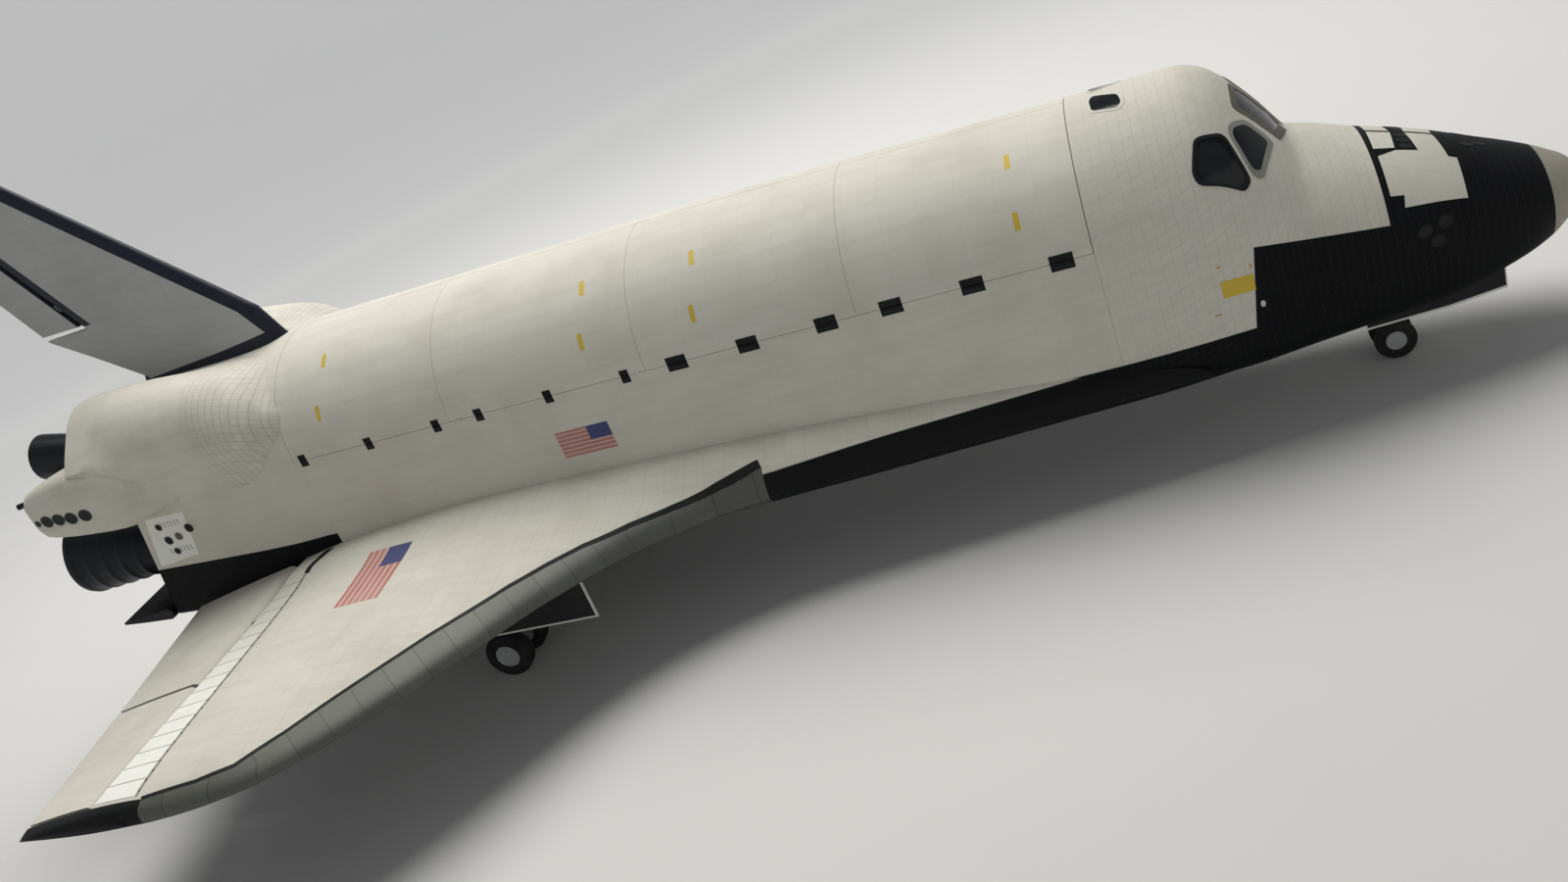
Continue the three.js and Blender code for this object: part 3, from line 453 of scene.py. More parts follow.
def half_ring(at):
    """Section from the crest down the port side to the belly centre, as (out, height)."""
    belly, corner, half, shoulder, top = smooth_row("body", at)
    turn = np.linspace(math.pi / 2, 0, 30)
    upper = np.stack([half * np.cos(turn), shoulder + (top - shoulder) * np.sin(turn)], -1)
    side = np.stack([np.full(7, half), np.linspace(shoulder, belly + corner, 8)[1:]], -1)
    turn = np.linspace(0, math.pi / 2, 8)[1:]
    bend = np.stack([half - corner + corner * np.cos(turn), belly + corner - corner * np.sin(turn)], -1)
    under = np.stack([np.linspace(half - corner, 0, 5)[1:], np.full(4, belly)], -1)
    return np.concatenate([upper, side, bend, under])


def at_station(at, ring):
    """Station points of a section given as (out, height)."""
    return np.concatenate([np.full((len(ring), 1), at), ring], 1)


def body_ring(at):
    """Closed section of the body, from the crest by port, belly and starboard."""
    half = half_ring(at)
    return at_station(at, np.concatenate([half, half[-2:0:-1] * (-1, 1)]))


def body_middle(at):
    belly, _, _, _, top = smooth_row("body", at)
    return (belly + top) / 2


def height_at(at, out):
    """Height of the upper skin at a distance out."""
    half, shoulder, top = smooth_row("body", at)[2:]
    return shoulder + (top - shoulder) * math.sqrt(max(0, 1 - (out / half) ** 2))


def girth_of(at, out, up):
    """Girth from the crest to the skin point nearest to a place."""
    half, run = half_run(float(at))
    fine = np.linspace(0, run[-1], 1500)
    near = np.hypot(np.interp(fine, run, half[:, 0]) - abs(out), np.interp(fine, run, half[:, 1]) - up)
    return fine[int(np.argmin(near))]


def wing_faces(out, at):
    """Heights of the upper and lower face of the wing."""
    lead, trail, low, thick, crest = smooth_row("wing", out)
    s = min(max((at - lead) / (trail - lead), 0), 1)
    if s < crest:
        full = math.sqrt(max(0, 1 - ((crest - s) / crest) ** 2))
    else:
        full = 1 - ((s - crest) / (1 - crest)) ** WING_TAPER
    upper = low + WING_UNDER * thick + (1 - WING_UNDER) * thick * full
    lower = low + WING_UNDER * thick * (1 - full)
    return upper + WING_EDGE, lower - WING_EDGE


def lead_at(out):
    return smooth_row("wing", out)[0]


def trail_at(out):
    return smooth_row("wing", out)[1]


def hinge_nose(out):
    """Radius of an elevon's rounded front, half the wing's thickness at the hinge."""
    upper, lower = wing_faces(out, ELEVON_HINGE)
    return (upper - lower) / 2


def box_rear(out):
    return ELEVON_HINGE - hinge_nose(out) - PLAY


def eased(start, end, count):
    """Values from start to end that lie closer at both ends."""
    return start + (end - start) * (1 - np.cos(np.linspace(0, math.pi, count))) / 2


def wing_ring(out, front, rear):
    """Section of the wing from rear over the top to the front and back below."""
    places = eased(front, rear, WING_STEPS)
    faces = [wing_faces(out, at) for at in places]
    above = [(at, out, face[0]) for at, face in zip(places[::-1], faces[::-1])]
    below = [(at, out, face[1]) for at, face in zip(places, faces)]
    return np.array(above + below)


def on_wing(sign):
    """Upper face of a wing by station and distance out."""
    return lambda at, out: np.array([at, sign * out, wing_faces(out, at)[0]])


def on_skin(sign):
    """Body skin on one side by station and girth."""

    def here(at, girth):
        half, run = half_run(float(at))
        side = sign if girth >= 0 else -sign
        out, up = (np.interp(abs(girth), run, half[:, k]) for k in (0, 1))
        return np.array([at, side * out, up])

    return here


def on_side(sign):
    """Body skin on one side by station and height."""

    def here(at, up):
        half, _ = half_run(float(at))
        return np.array([at, sign * np.interp(up, half[::-1, 1], half[::-1, 0]), up])

    return here


def on_housing(sign):
    """Outer face of a thruster housing by station and height."""

    def here(at, up):
        near, out, low, high = smooth_row("housing", at)
        middle, rise = (low + high) / 2, (high - low) / 2
        bulge = max(0.0, 1 - abs((up - middle) / rise) ** 4) ** 0.25
        return np.array([at, sign * ((near + out) / 2 + (out - near) / 2 * bulge), up])

    return here


# Outlines


def disc_outline(centre, size, count=20, power=2.0):
    """Round outline, or one that comes near to a rectangle at a high power."""
    turn = np.linspace(0, 2 * math.pi, count, endpoint=False)
    u = np.sign(np.cos(turn)) * np.abs(np.cos(turn)) ** (2 / power) * size[0]
    v = np.sign(np.sin(turn)) * np.abs(np.sin(turn)) ** (2 / power) * size[1]
    return [(centre[0] + a, centre[1] + b) for a, b in zip(u, v)]


def oblong(at, up, long, tall):
    low, high, lower, upper = at - long / 2, at + long / 2, up - tall / 2, up + tall / 2
    return [(low, lower), (high, lower), (high, upper), (low, upper)]


def skin_outline(corners):
    """Outline by station and girth of corners by station, distance out and height."""
    return [(at, girth_of(at, out, up)) for at, out, up in corners]


def top_outline(spots):
    return skin_outline([(at, out, height_at(at, out)) for at, out in spots])


def rounded(outline, radius):
    """Outline with a small curve at each corner."""
    points = [np.array(p, float) for p in outline]
    soft = []
    for before, here, after in zip(points[-1:] + points[:-1], points, points[1:] + points[:1]):
        shares = [min(radius / np.linalg.norm(p - here), 0.45) for p in (before, after)]
        start, end = here + (before - here) * shares[0], here + (after - here) * shares[1]
        for t in np.linspace(0, 1, CORNER_POINTS):
            soft.append(tuple((1 - t) ** 2 * start + 2 * t * (1 - t) * here + t * t * end))
    return soft


def scaled(outline, factor):
    points = np.array(outline, float)
    middle = points.mean(0)
    return [tuple(p) for p in middle + (points - middle) * factor]


# Mesh making


def new_mesh(name, points, faces, materials):
    mesh = bpy.data.meshes.new(name)
    mesh.from_pydata([tuple(p) for p in points], [], [tuple(int(v) for v in f) for f in faces])
    mesh.validate()
    for material in materials:
        mesh.materials.append(material)
    obj = bpy.data.objects.new(name, mesh)
    bpy.context.scene.collection.objects.link(obj)
    return obj


def new_piece(name, points, faces, slot, materials, body="airframe", sharp=30, replaces=()):
    """Object of the dressed model that rides on a body."""
    obj = new_mesh(name, points, faces, materials)
    obj.data.shade_smooth()
    obj.data.set_sharp_from_angle(angle=math.radians(sharp))
    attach(obj, body)
    if replaces:
        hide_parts(*replaces)
    return obj


def face_outward(mesh):
    work = bmesh.new()
    work.from_mesh(mesh)
    bmesh.ops.recalc_face_normals(work, faces=work.faces)
    work.to_mesh(mesh)
    work.free()


def loft(name, rings, slot, materials, body="airframe", sharp=40, replaces=(), pick=None, capped=True):
    """Skin over a stack of equal closed rings, with its run and girth in inches as a map."""
    rings = np.asarray(rings, float)
    rows, cols = rings.shape[:2]
    points = place(rings).reshape(-1, 3)
    run = np.concatenate([[0], np.cumsum(lengths(rings).mean(1))])
    wrap = np.concatenate([rings, rings[:, :1]], 1)
    girth = np.concatenate([np.zeros((rows, 1)), np.cumsum(lengths(wrap, 1), 1)], 1)
    faces, uvs, kinds = [], [], []
    for i in range(rows - 1):
        for j in range(cols):
            k, low, high = (j + 1) % cols, i * cols, (i + 1) * cols
            faces.append((low + j, low + k, high + k, high + j))
            corners = ((i, j), (i, j + 1), (i + 1, j + 1), (i + 1, j))
            uvs += [(run[row], girth[row, col]) for row, col in corners]
            kinds.append(pick(i, j) if pick else 0)
    middle = points.mean(0)
    sample = [points[list(face)] for face in faces[:: max(1, len(faces) // 400)]]
    facing = sum(np.dot(np.cross(q[1] - q[0], q[2] - q[0]), q.mean(0) - middle) for q in sample)
    turned = facing < 0
    if turned:
        faces = [face[::-1] for face in faces]
        uvs = [uv for k in range(0, len(uvs), 4) for uv in uvs[k : k + 4][::-1]]
    if capped:
        first, last = list(range(cols)), list(range((rows - 1) * cols, rows * cols))
        faces += [first, last[::-1]] if turned else [first[::-1], last]
        uvs += [(0, 0)] * (2 * cols)
        kinds += [0, 0]
    obj = new_piece(name, points, faces, slot, materials, body, sharp, replaces)
    if len(obj.data.loops) == len(uvs):
        layer = obj.data.uv_layers.new(name="Skin")
        layer.data.foreach_set("uv", np.asarray(uvs, np.float32).ravel())
        obj.data.polygons.foreach_set("material_index", kinds)
    return obj


def ring_about(along, side, sides):
    """Points of a unit circle about an axis, from a way that points off to its side."""
    side = side / np.linalg.norm(side)
    turn = np.linspace(0, 2 * math.pi, sides, endpoint=False)
    return np.cos(turn)[:, None] * side + np.sin(turn)[:, None] * np.cross(along, side)


def lathe(name, centre, axis, profile, slot, material, sides=72, body="airframe", **settings):
    """Turned shape about an axis from pairs of distance along it and radius; x runs to the nose."""
    along = np.asarray(axis, float) / np.linalg.norm(axis)
    side = np.cross(along, (0, 1, 0.01) if abs(along[1]) < 0.9 else (1, 0, 0))
    circle = ring_about(along, side, sides)
    rings = [np.asarray(centre, float) + along * far + circle * radius for far, radius in profile]
    return loft(name, [ring * (-1, 1, 1) for ring in rings], slot, [material], body, **settings)


def rod(name, a, b, radius, slot, material, sides=28, end=None, body="airframe"):
    """Round bar between two station points."""
    a, b = np.asarray(a, float) * (-1, 1, 1), np.asarray(b, float) * (-1, 1, 1)
    length = np.linalg.norm(b - a)
    end = radius if end is None else end
    bevel = min(radius, end) * 0.12
    profile = [(0, radius - bevel), (bevel, radius), (length - bevel, end), (length, end - bevel)]
    lathe(name, a, b - a, profile, slot, material, sides, body, sharp=30, capped=True)


def plate(name, outline, y0, y1, slot, material):
    """Plate from a side view outline between two distances out."""
    ring = np.array(outline, float)
    rings = [np.stack([ring[:, 0], np.full(len(ring), y), ring[:, 1]], -1) for y in (y0, y1)]
    loft(name, rings, slot, [material], sharp=35)


def box(low, high):
    """Places and faces of a block between two station corners."""
    corners = [(x, y, z) for x in (low[0], high[0]) for y in (low[1], high[1]) for z in (low[2], high[2])]
    faces = [(0, 1, 3, 2), (4, 6, 7, 5), (0, 4, 5, 1), (2, 3, 7, 6), (0, 2, 6, 4), (1, 5, 7, 3)]
    return place(corners), faces


def apply_modifiers(obj):
    """Put the result of an object's modifiers into its mesh."""
    graph = bpy.context.evaluated_depsgraph_get()
    mesh = bpy.data.meshes.new_from_object(obj.evaluated_get(graph))
    old = obj.data
    obj.modifiers.clear()
    obj.data = mesh
    bpy.data.meshes.remove(old)


def soften(obj, width):
    """Round the edges of an object."""
    bevel = obj.modifiers.new("soften", "BEVEL")
    bevel.width = width * INCH
    bevel.segments = 2
    bevel.limit_method = "ANGLE"
    bevel.angle_limit = math.radians(40)
    apply_modifiers(obj)


def cut(obj, cutters, operation="DIFFERENCE"):
    """Take cutter meshes out of an object, or keep what they share with it, and delete them."""
    for cutter in cutters:
        knife = obj.modifiers.new("cut", "BOOLEAN")
        knife.operation = operation
        knife.solver = "EXACT"
        knife.object = cutter
    apply_modifiers(obj)
    for cutter in cutters:
        bpy.data.objects.remove(cutter)
    obj.data.set_sharp_from_angle(angle=math.radians(40))


def cutter_object(points, faces, material):
    obj = new_mesh("cutter", points, faces, [material])
    face_outward(obj.data)
    return obj


def block_cutter(low, high, material):
    return cutter_object(*box(low, high), material)


def prism_cutter(first, second, material):
    """Cutter between two outlines of as many station points."""
    count = len(first)
    faces = [(k, (k + 1) % count, count + (k + 1) % count, count + k) for k in range(count)]
    faces += [tuple(range(count))[::-1], tuple(range(count, 2 * count))]
    return cutter_object(place(np.concatenate([first, second])), faces, material)


def rod_cutter(a, b, radius, material):
    a, b = np.asarray(a, float), np.asarray(b, float)
    along = (b - a) / np.linalg.norm(b - a)
    circle = ring_about(along, np.cross(along, (1, 0, 0.02)), CUTTER_SIDES) * radius
    return prism_cutter(a + circle, b + circle, material)


# Plates and frames on a surface


def flat_sheet(outline, step):
    """Triangles that fill an outline, with points inside for the curve of the skin."""
    outline = [Vector(p) for p in outline]
    edge = []
    for a, b in zip(outline, outline[1:] + outline[:1]):
        parts = max(1, int((b - a).length / step))
        edge += [a.lerp(b, k / parts) for k in range(parts)]
    xs, ys = [p.x for p in edge], [p.y for p in edge]
    across = np.arange(min(xs) + step * 0.6, max(xs), step)
    upward = np.arange(min(ys) + step * 0.6, max(ys), step)
    inner = [Vector((x, y)) for x in across for y in upward]
    lines = [(k, (k + 1) % len(edge)) for k in range(len(edge))]
    verts, _, faces, _, _, _ = delaunay_2d_cdt(edge + inner, lines, [], 1, 1e-4)
    return verts, faces


def normal_of(surface, u, v):
    du = surface(u + 0.5, v) - surface(u - 0.5, v)
    dv = surface(u, v + 0.5) - surface(u, v - 0.5)
    normal = np.cross(du, dv)
    return normal / max(np.linalg.norm(normal), 1e-9)


def patch(name, outline, surface, slot, material, height, step=4.0, sink=0.5, core=None, body="airframe"):
    """Thin plate on a surface within an outline, facing away from the body's middle or a core height."""
    verts, faces = flat_sheet(outline, step)
    points = np.array([surface(v.x, v.y) for v in verts])
    normals = np.array([normal_of(surface, v.x, v.y) for v in verts])
    level = body_middle(points[:, 0].mean()) if core is None else core
    centre = np.array([points[:, 0].mean(), 0, level])
    if np.dot(normals.mean(0), points.mean(0) - centre) < 0:
        normals = -normals
    top = place(points + normals * height)
    low = place(points - normals * sink)
    edges = {(a, b) for face in faces for a, b in zip(face, face[1:] + face[:1])}
    count = len(top)
    quads = [(b, a, a + count, b + count) for a, b in sorted(edges) if (b, a) not in edges]
    plate_faces = [tuple(face) for face in faces] + quads
    q = [top[v] for v in faces[0][:3]]
    up = np.cross(q[1] - q[0], q[2] - q[0])
    if np.dot(up, top[faces[0][0]] - low[faces[0][0]]) < 0:
        plate_faces = [face[::-1] for face in plate_faces]
    return new_piece(name, np.concatenate([top, low]), plate_faces, slot, [material], body)


def framed(name, outer, inner, surface, slot, material, height, parts=3, replaces=()):
    """Raised frame between two outlines of as many corners on a surface."""
    loops = []
    for outline in (outer, inner):
        points = [np.array(p, float) for p in outline]
        ends = list(zip(points, points[1:] + points[:1]))
        loops.append([a + (b - a) * k / parts for a, b in ends for k in range(parts)])
    rings = []
    sunk = -FRAME_DEPTH
    for loop, lift in ((loops[0], sunk), (loops[0], height), (loops[1], height), (loops[1], sunk)):
        for x, y in loop:
            here, normal = surface(x, y), normal_of(surface, x, y)
            outward = np.dot(normal, here - np.array([here[0], 0, body_middle(here[0])])) >= 0
            rings.append(here + normal * (lift if outward else -lift))
    count = len(loops[0])
    faces = []
    for low in (0, count, 2 * count):
        for j in range(count):
            k = (j + 1) % count
            faces.append((low + j, low + k, low + count + k, low + count + j))
    obj = new_piece(name, place(np.array(rings)), faces, slot, [material], replaces=replaces)
    face_outward(obj.data)


def both_sides(name, outline, slot, material, height=None, way=on_skin, step=5.0, sink=0.5, body="airframe"):
    """The same thin plate on both sides of the model."""
    height = sizes().relief if height is None else height
    for word, sign in SIDES:
        ride = body + word if body.endswith("_") else body
        patch(f"{name}_{word}", outline, way(sign), slot, material, height, step, sink, body=ride)


# Shader tools


class Net:
    """Lays nodes in one tree and joins them"""

    def __init__(self, tree):
        self.tree = tree

    def add(self, kind, inputs=None, **settings):
        node = self.tree.nodes.new(kind)
        for key, value in settings.items():
            setattr(node, key, value)
        for key, value in (inputs or {}).items():
            self.feed(node.inputs[key], value)
        return node

    def feed(self, socket, value):
        if isinstance(value, bpy.types.NodeSocket):
            self.tree.links.new(value, socket)
            return
        if socket.type == "RGBA":
            value = (*tuple(value)[:3], 1.0)
        socket.default_value = value

    def math(self, operation, a, b=0.0):
        return self.add("ShaderNodeMath", {0: a, 1: b}, operation=operation).outputs[0]

    def plus(self, a, b):
        return self.math("ADD", a, b)

    def minus(self, a, b):
        return self.math("SUBTRACT", a, b)

    def times(self, a, b):
        return self.math("MULTIPLY", a, b)

    def most(self, *values):
        return functools.reduce(lambda a, b: self.math("MAXIMUM", a, b), values)

    def least(self, *values):
        return functools.reduce(lambda a, b: self.math("MINIMUM", a, b), values)

    def away(self, value, centre):
        return self.math("ABSOLUTE", self.minus(value, centre))

    def line(self, value, at, level, slope):
        """Height of a straight border that has a level at one place and a slope."""
        sockets = {0: value, 1: slope, 2: level - at * slope}
        return self.add("ShaderNodeMath", sockets, operation="MULTIPLY_ADD").outputs[0]

    def below(self, value, limit, soft=0.25):
        """One where the value is under the limit, with a thin soft edge."""
        return self.ramp(self.minus(limit, value), -soft, soft)

    def ramp(self, value, low, high, to_low=0.0, to_high=1.0):
        sockets = {"Value": value, "From Min": low, "From Max": high, "To Min": to_low, "To Max": to_high}
        return self.add("ShaderNodeMapRange", sockets).outputs[0]

    def mix(self, factor, a, b, blend="MIX"):
        sockets = {0: factor, 6: a, 7: b}
        node = self.add("ShaderNodeMix", data_type="RGBA", blend_type=blend)
        for key, value in sockets.items():
            self.feed(node.inputs[key], value)
        return node.outputs[2]

    def shaded(self, base, shade):
        return self.mix(1.0, base, shade, "MULTIPLY")

    def combine(self, x, y, z=0.0):
        return self.add("ShaderNodeCombineXYZ", {0: x, 1: y, 2: z}).outputs[0]

    def place(self):
        return self.add("ShaderNodeTexCoord").outputs["Object"]

    def noise(self, vector, scale, detail=3.0, roughness=0.55):
        sockets = {"Vector": vector, "Scale": scale, "Detail": detail, "Roughness": roughness}
        return self.add("ShaderNodeTexNoise", sockets).outputs[0]

    def group(self, tree, inputs=None):
        node = self.add("ShaderNodeGroup")
        node.node_tree = tree
        for key, value in (inputs or {}).items():
            self.feed(node.inputs[key], value)
        return node.outputs


class Finish(Net):
    """Material with one shader, and the places and stains that colour it"""

    def __init__(self, name, roughness=0.6, metallic=0.0, coat=0.0, specular=0.3):
        self.material = bpy.data.materials.new(name)
        self.material.use_nodes = True
        super().__init__(self.material.node_tree)
        self.inputs = self.tree.nodes["Principled BSDF"].inputs
        self.inputs["Roughness"].default_value = roughness
        self.inputs["Metallic"].default_value = metallic
        self.inputs["Coat Weight"].default_value = coat
        self.inputs["Specular IOR Level"].default_value = specular

    @functools.cached_property
    def at(self):
        """Station, distance out, height and place in inches."""
        return self.group(stations_group())

    def skin(self):
        return self.add("ShaderNodeUVMap", uv_map="Skin").outputs[0]

    def weather(self, size=60.0, streak=0.12):
        return self.group(weather_group(), {"Inches": self.at["Inches"], "Size": size, "Streak": streak})

    def colour(self, value):
        self.feed(self.inputs["Base Color"], value)

    def rough(self, value, low, high):
        self.feed(self.inputs["Roughness"], self.ramp(value, 0.0, 1.0, low, high))

    def bump(self, height, strength, depth):
        sockets = {"Height": height, "Strength": strength, "Distance": depth * INCH}
        self.feed(self.inputs["Normal"], self.add("ShaderNodeBump", sockets).outputs[0])

    def tiled(self, base, mapped, long, wide, joint, shade, uneven, stain=0.25):
        """Colour and height of a tiled skin with stains over it."""
        grid = self.group(tiles_group(), {"Skin": mapped, "Long": long, "Wide": wide, "Joint": joint})
        weather = self.weather()
        dark = self.shaded(base, (shade, shade, shade))
        toned = self.mix(self.times(grid["Tone"], uneven), base, self.shaded(base, (0.6, 0.6, 0.6)))
        brown = self.shaded(base, (0.62, 0.58, 0.52))
        stained = self.mix(self.times(weather["Stain"], stain), toned, brown)
        rained = self.shaded(base, (0.66, 0.65, 0.63))
        streaked = self.mix(self.times(weather["Streaks"], stain * 0.8), stained, rained)
        grained = self.mix(self.ramp(weather["Grain"], 0.3, 0.75, 0.0, 0.14), streaked, dark)
        height = self.plus(grid["Height"], self.times(weather["Grain"], 0.25))
        return self.mix(grid["Joint"], grained, dark), height


def shared_group(name, inputs, outputs):
    """Make one node group of a function that lays it out; inputs with no value are vectors."""

    def wrap(lay_out):
        def kept():
            if name in bpy.data.node_groups:
                return bpy.data.node_groups[name]
            tree = bpy.data.node_groups.new(name, "ShaderNodeTree")
            for label, value in inputs.items():
                kind = "NodeSocketVector" if value is None else "NodeSocketFloat"
                socket = tree.interface.new_socket(label, in_out="INPUT", socket_type=kind)
                if value is not None:
                    socket.default_value = value
            for label in outputs:
                kind = "NodeSocketVector" if label == "Inches" else "NodeSocketFloat"
                tree.interface.new_socket(label, in_out="OUTPUT", socket_type=kind)
            net = Net(tree)
            start, end = net.add("NodeGroupInput").outputs, net.add("NodeGroupOutput").inputs
            for label, value in lay_out(net, start).items():
                net.feed(end[label], value)
            return tree

        return kept

    return wrap


@shared_group("Model stations", {}, ("Station", "Out", "Height", "Inches"))
def stations_group(net, _):
    """Station, distance out and height of each point, undoing the model's pitch."""
    in_inches = net.add("ShaderNodeVectorMath", {0: net.place(), 3: 1 / INCH}, operation="SCALE").outputs[0]
    parts = net.add("ShaderNodeSeparateXYZ", {0: in_inches}).outputs
    ahead = net.minus(parts[0], CENTRE_SHIFT)
    x = net.minus(net.times(ahead, math.cos(PITCH)), net.times(parts[2], math.sin(PITCH)))
    z = net.plus(net.times(ahead, math.sin(PITCH)), net.times(parts[2], math.cos(PITCH)))
    return {
        "Station": net.minus(GROUND_STATION, x),
        "Out": net.math("ABSOLUTE", parts[1]),
        "Height": net.plus(z, GROUND_LEVEL),
        "Inches": in_inches,
    }


@shared_group(
    "Tile grid", {"Skin": None, "Long": 8.0, "Wide": 8.0, "Joint": 0.3}, ("Joint", "Tone", "Height")
)
def tiles_group(net, start):
    """Joints, random tone and height of a grid of tiles."""
    sockets = {
        "Vector": start["Skin"],
        "Color1": (0, 0, 0),
        "Color2": (1, 1, 1),
        "Mortar": (0.5, 0.5, 0.5),
        "Scale": 1.0,
        "Mortar Size": net.times(start["Joint"], 0.5),
        "Mortar Smooth": 0.3,
        "Brick Width": start["Long"],
        "Row Height": start["Wide"],
    }
    brick = net.add("ShaderNodeTexBrick", sockets, offset=0.0).outputs
    tone = net.add("ShaderNodeRGBToBW", {0: brick["Color"]}).outputs[0]
    return {"Joint": brick["Fac"], "Tone": tone, "Height": net.minus(1.0, brick["Fac"])}


@shared_group("Weather", {"Inches": None, "Size": 60.0, "Streak": 0.12}, ("Stain", "Streaks", "Grain"))
def weather_group(net, start):
    """Wide stains, drawn-out streaks and fine grain."""
    scale = net.math("DIVIDE", 1.0, start["Size"])
    squash = net.combine(start["Streak"], 1.0, 1.0)
    drawn = net.add("ShaderNodeVectorMath", {0: start["Inches"], 1: squash}, operation="MULTIPLY").outputs[0]
    return {
        "Stain": net.ramp(net.noise(start["Inches"], scale, 5.0, 0.6), 0.42, 0.72),
        "Streaks": net.ramp(net.noise(drawn, net.times(scale, 6.0), 4.0, 0.6), 0.45, 0.75),
        "Grain": net.noise(start["Inches"], 0.9, 4.0, 0.7),
    }


def once(make):
    """Keep one copy of each material that a function makes."""

    def kept(*words):
        name = "_".join((make.__name__, *map(str, words)))
        return bpy.data.materials.get(name) or make(name, *words)

    return kept


# Finishes


def vent_mask(look, low, high):
    """One beside a vent between two heights, so that the edges of skin and door are dark there."""
    station, height = look.at["Station"], look.at["Height"]
    beside = look.most(*[look.below(look.away(station, at), long / 2, 0.1) for at, long, _ in VENTS])
    return look.least(beside, look.below(low, height, 0.05), look.below(height, high, 0.05))


@once
def hull_skin(name):
    """Cream upper skin over black lower tiles, parted along the sides."""
    look = Finish(name, specular=0.1)
    station, height, mapped = look.at["Station"], look.at["Height"], look.skin()
    tile, joint = sizes().tile, sizes().joint
    tiled, relief = look.tiled(colours().cream, mapped, tile, tile, joint, 0.75, 0.08)
    plain, _ = look.tiled(colours().cream, mapped, 36.0, 36.0, joint, 0.86, 0.05)
    cream = look.mix(look.ramp(station, 540.0, 600.0, 0.0, 0.85), tiled, plain)
    black, _ = look.tiled(colours().black, mapped, tile * 0.75, tile * 0.75, joint, 4.0, 0.5, 0.4)
    under_cabin = look.below(height, look.line(station, *CABIN_BORDER))
    side = look.least(under_cabin, look.below(station, look.line(height, *CABIN_REAR_BORDER)))
    low = look.below(height, look.line(station, *BELLY_BORDER))
    under_tail = look.below(height, look.line(station, *TAIL_BORDER))
    rear = look.least(under_tail, look.below(BAY_REAR - 1.0, station))
    vents = vent_mask(look, SILL - 1.1, SILL + 0.3)
    mask = look.most(look.below(station, 380.0), side, low, rear, vents)
    look.colour(look.mix(mask, cream, black))
    look.rough(mask, 0.78, 0.6)
    look.bump(relief, 0.5, 0.12)
    return look.material


@once
def door_skin(name):
    """Quilted cream blankets of the bay doors."""
    look = Finish(name, 0.78)
    joint = sizes().joint
    cream, relief = look.tiled(colours().cream, look.skin(), 30.0, 14.0, joint, 0.86, 0.06, 0.3)
    offs = [look.away(look.at["Station"], station) for station in DOOR_SEAMS]
    seam = look.most(*[look.below(off, joint * 0.8, 0.1) for off in offs])
    seamed = look.mix(look.times(seam, 0.6), cream, (0.12, 0.115, 0.10))
    look.colour(look.mix(vent_mask(look, SILL - 1.1, SILL + 1.6), seamed, colours().black))
    look.bump(relief, 0.5, 0.15)
    return look.material


@once
def wing_skin(name):
    """Cream top of the wing with the black band along the glove."""
    look = Finish(name, specular=0.15)
    station, out = look.at["Station"], look.at["Out"]
    cream, relief = look.tiled(colours().cream, look.skin(), 26.0, 18.0, sizes().joint, 0.7, 0.08, 0.3)
    beyond = look.below(look.line(station, *GLOVE_BORDER), out)
    glove = look.least(beyond, look.below(station, EDGE_LINE[0, 0]))
    tip = look.least(look.below(TIP_FROM, out), look.below(EDGE_LINE[-1, 0], station))
    mask = look.most(glove, tip)
    look.colour(look.mix(mask, cream, colours().black))
    look.rough(mask, 0.78, 0.6)
    look.bump(relief, 0.5, 0.12)
    return look.material


@once
def black_tiles(name):
    """Black lower tiles with pale joints."""
    look = Finish(name, specular=0.12)
    black, side = colours().black, sizes().tile * 0.75
    sockets = {"Skin": look.skin(), "Long": side, "Wide": side, "Joint": sizes().joint}
    grid = look.group(tiles_group(), sockets)
    toned = look.mix(look.times(grid["Tone"], 0.5), black, look.shaded(black, (2.6, 2.6, 2.7)))
    dusty = look.mix(look.times(look.weather()["Streaks"], 0.12), toned, (0.12, 0.12, 0.115))
    look.colour(look.mix(look.times(grid["Joint"], 0.5), dusty, (0.05, 0.05, 0.05)))
    look.rough(grid["Tone"], 0.6, 0.72)
    look.bump(grid["Height"], 0.4, 0.12)
    return look.material


@once
def fin_skin(name):
    """Blankets of the fin in a grey that is partly painted shade, with the dark tiles of its front edge,
    root and spar.
    """
    look = Finish(name, 0.75)
    station, height = look.at["Station"], look.at["Height"]
    # grey: the fin's blanket tone, darkened in part as painted shade
    grey, relief = look.tiled(colours().grey, look.skin(), 26.0, 16.0, sizes().joint * 1.2, 0.72, 0.08, 0.3)
    lead = look.most(*[look.line(height, *border) for border in FIN_LEAD_BORDERS])
    band = look.below(station, look.plus(lead, 17.0))
    root = look.below(height, look.line(station, *FIN_ROOT_BORDER))
    slope = (rudder_line(RUDDER_HEAD) - rudder_line(RUDDER_BASE)) / (RUDDER_HEAD - RUDDER_BASE)
    front = look.line(height, RUDDER_BASE, rudder_line(RUDDER_BASE) - 16.0, slope)
    behind = look.least(look.below(front, station), look.below(RUDDER_BASE - 1.0, height))
    spar = look.least(behind, look.below(station, look.plus(front, 17.5)))
    mask = look.most(band, root, spar)
    look.colour(look.mix(mask, grey, colours().navy))
    look.rough(mask, 0.75, 0.5)
    look.bump(relief, 0.5, 0.12)
    return look.material


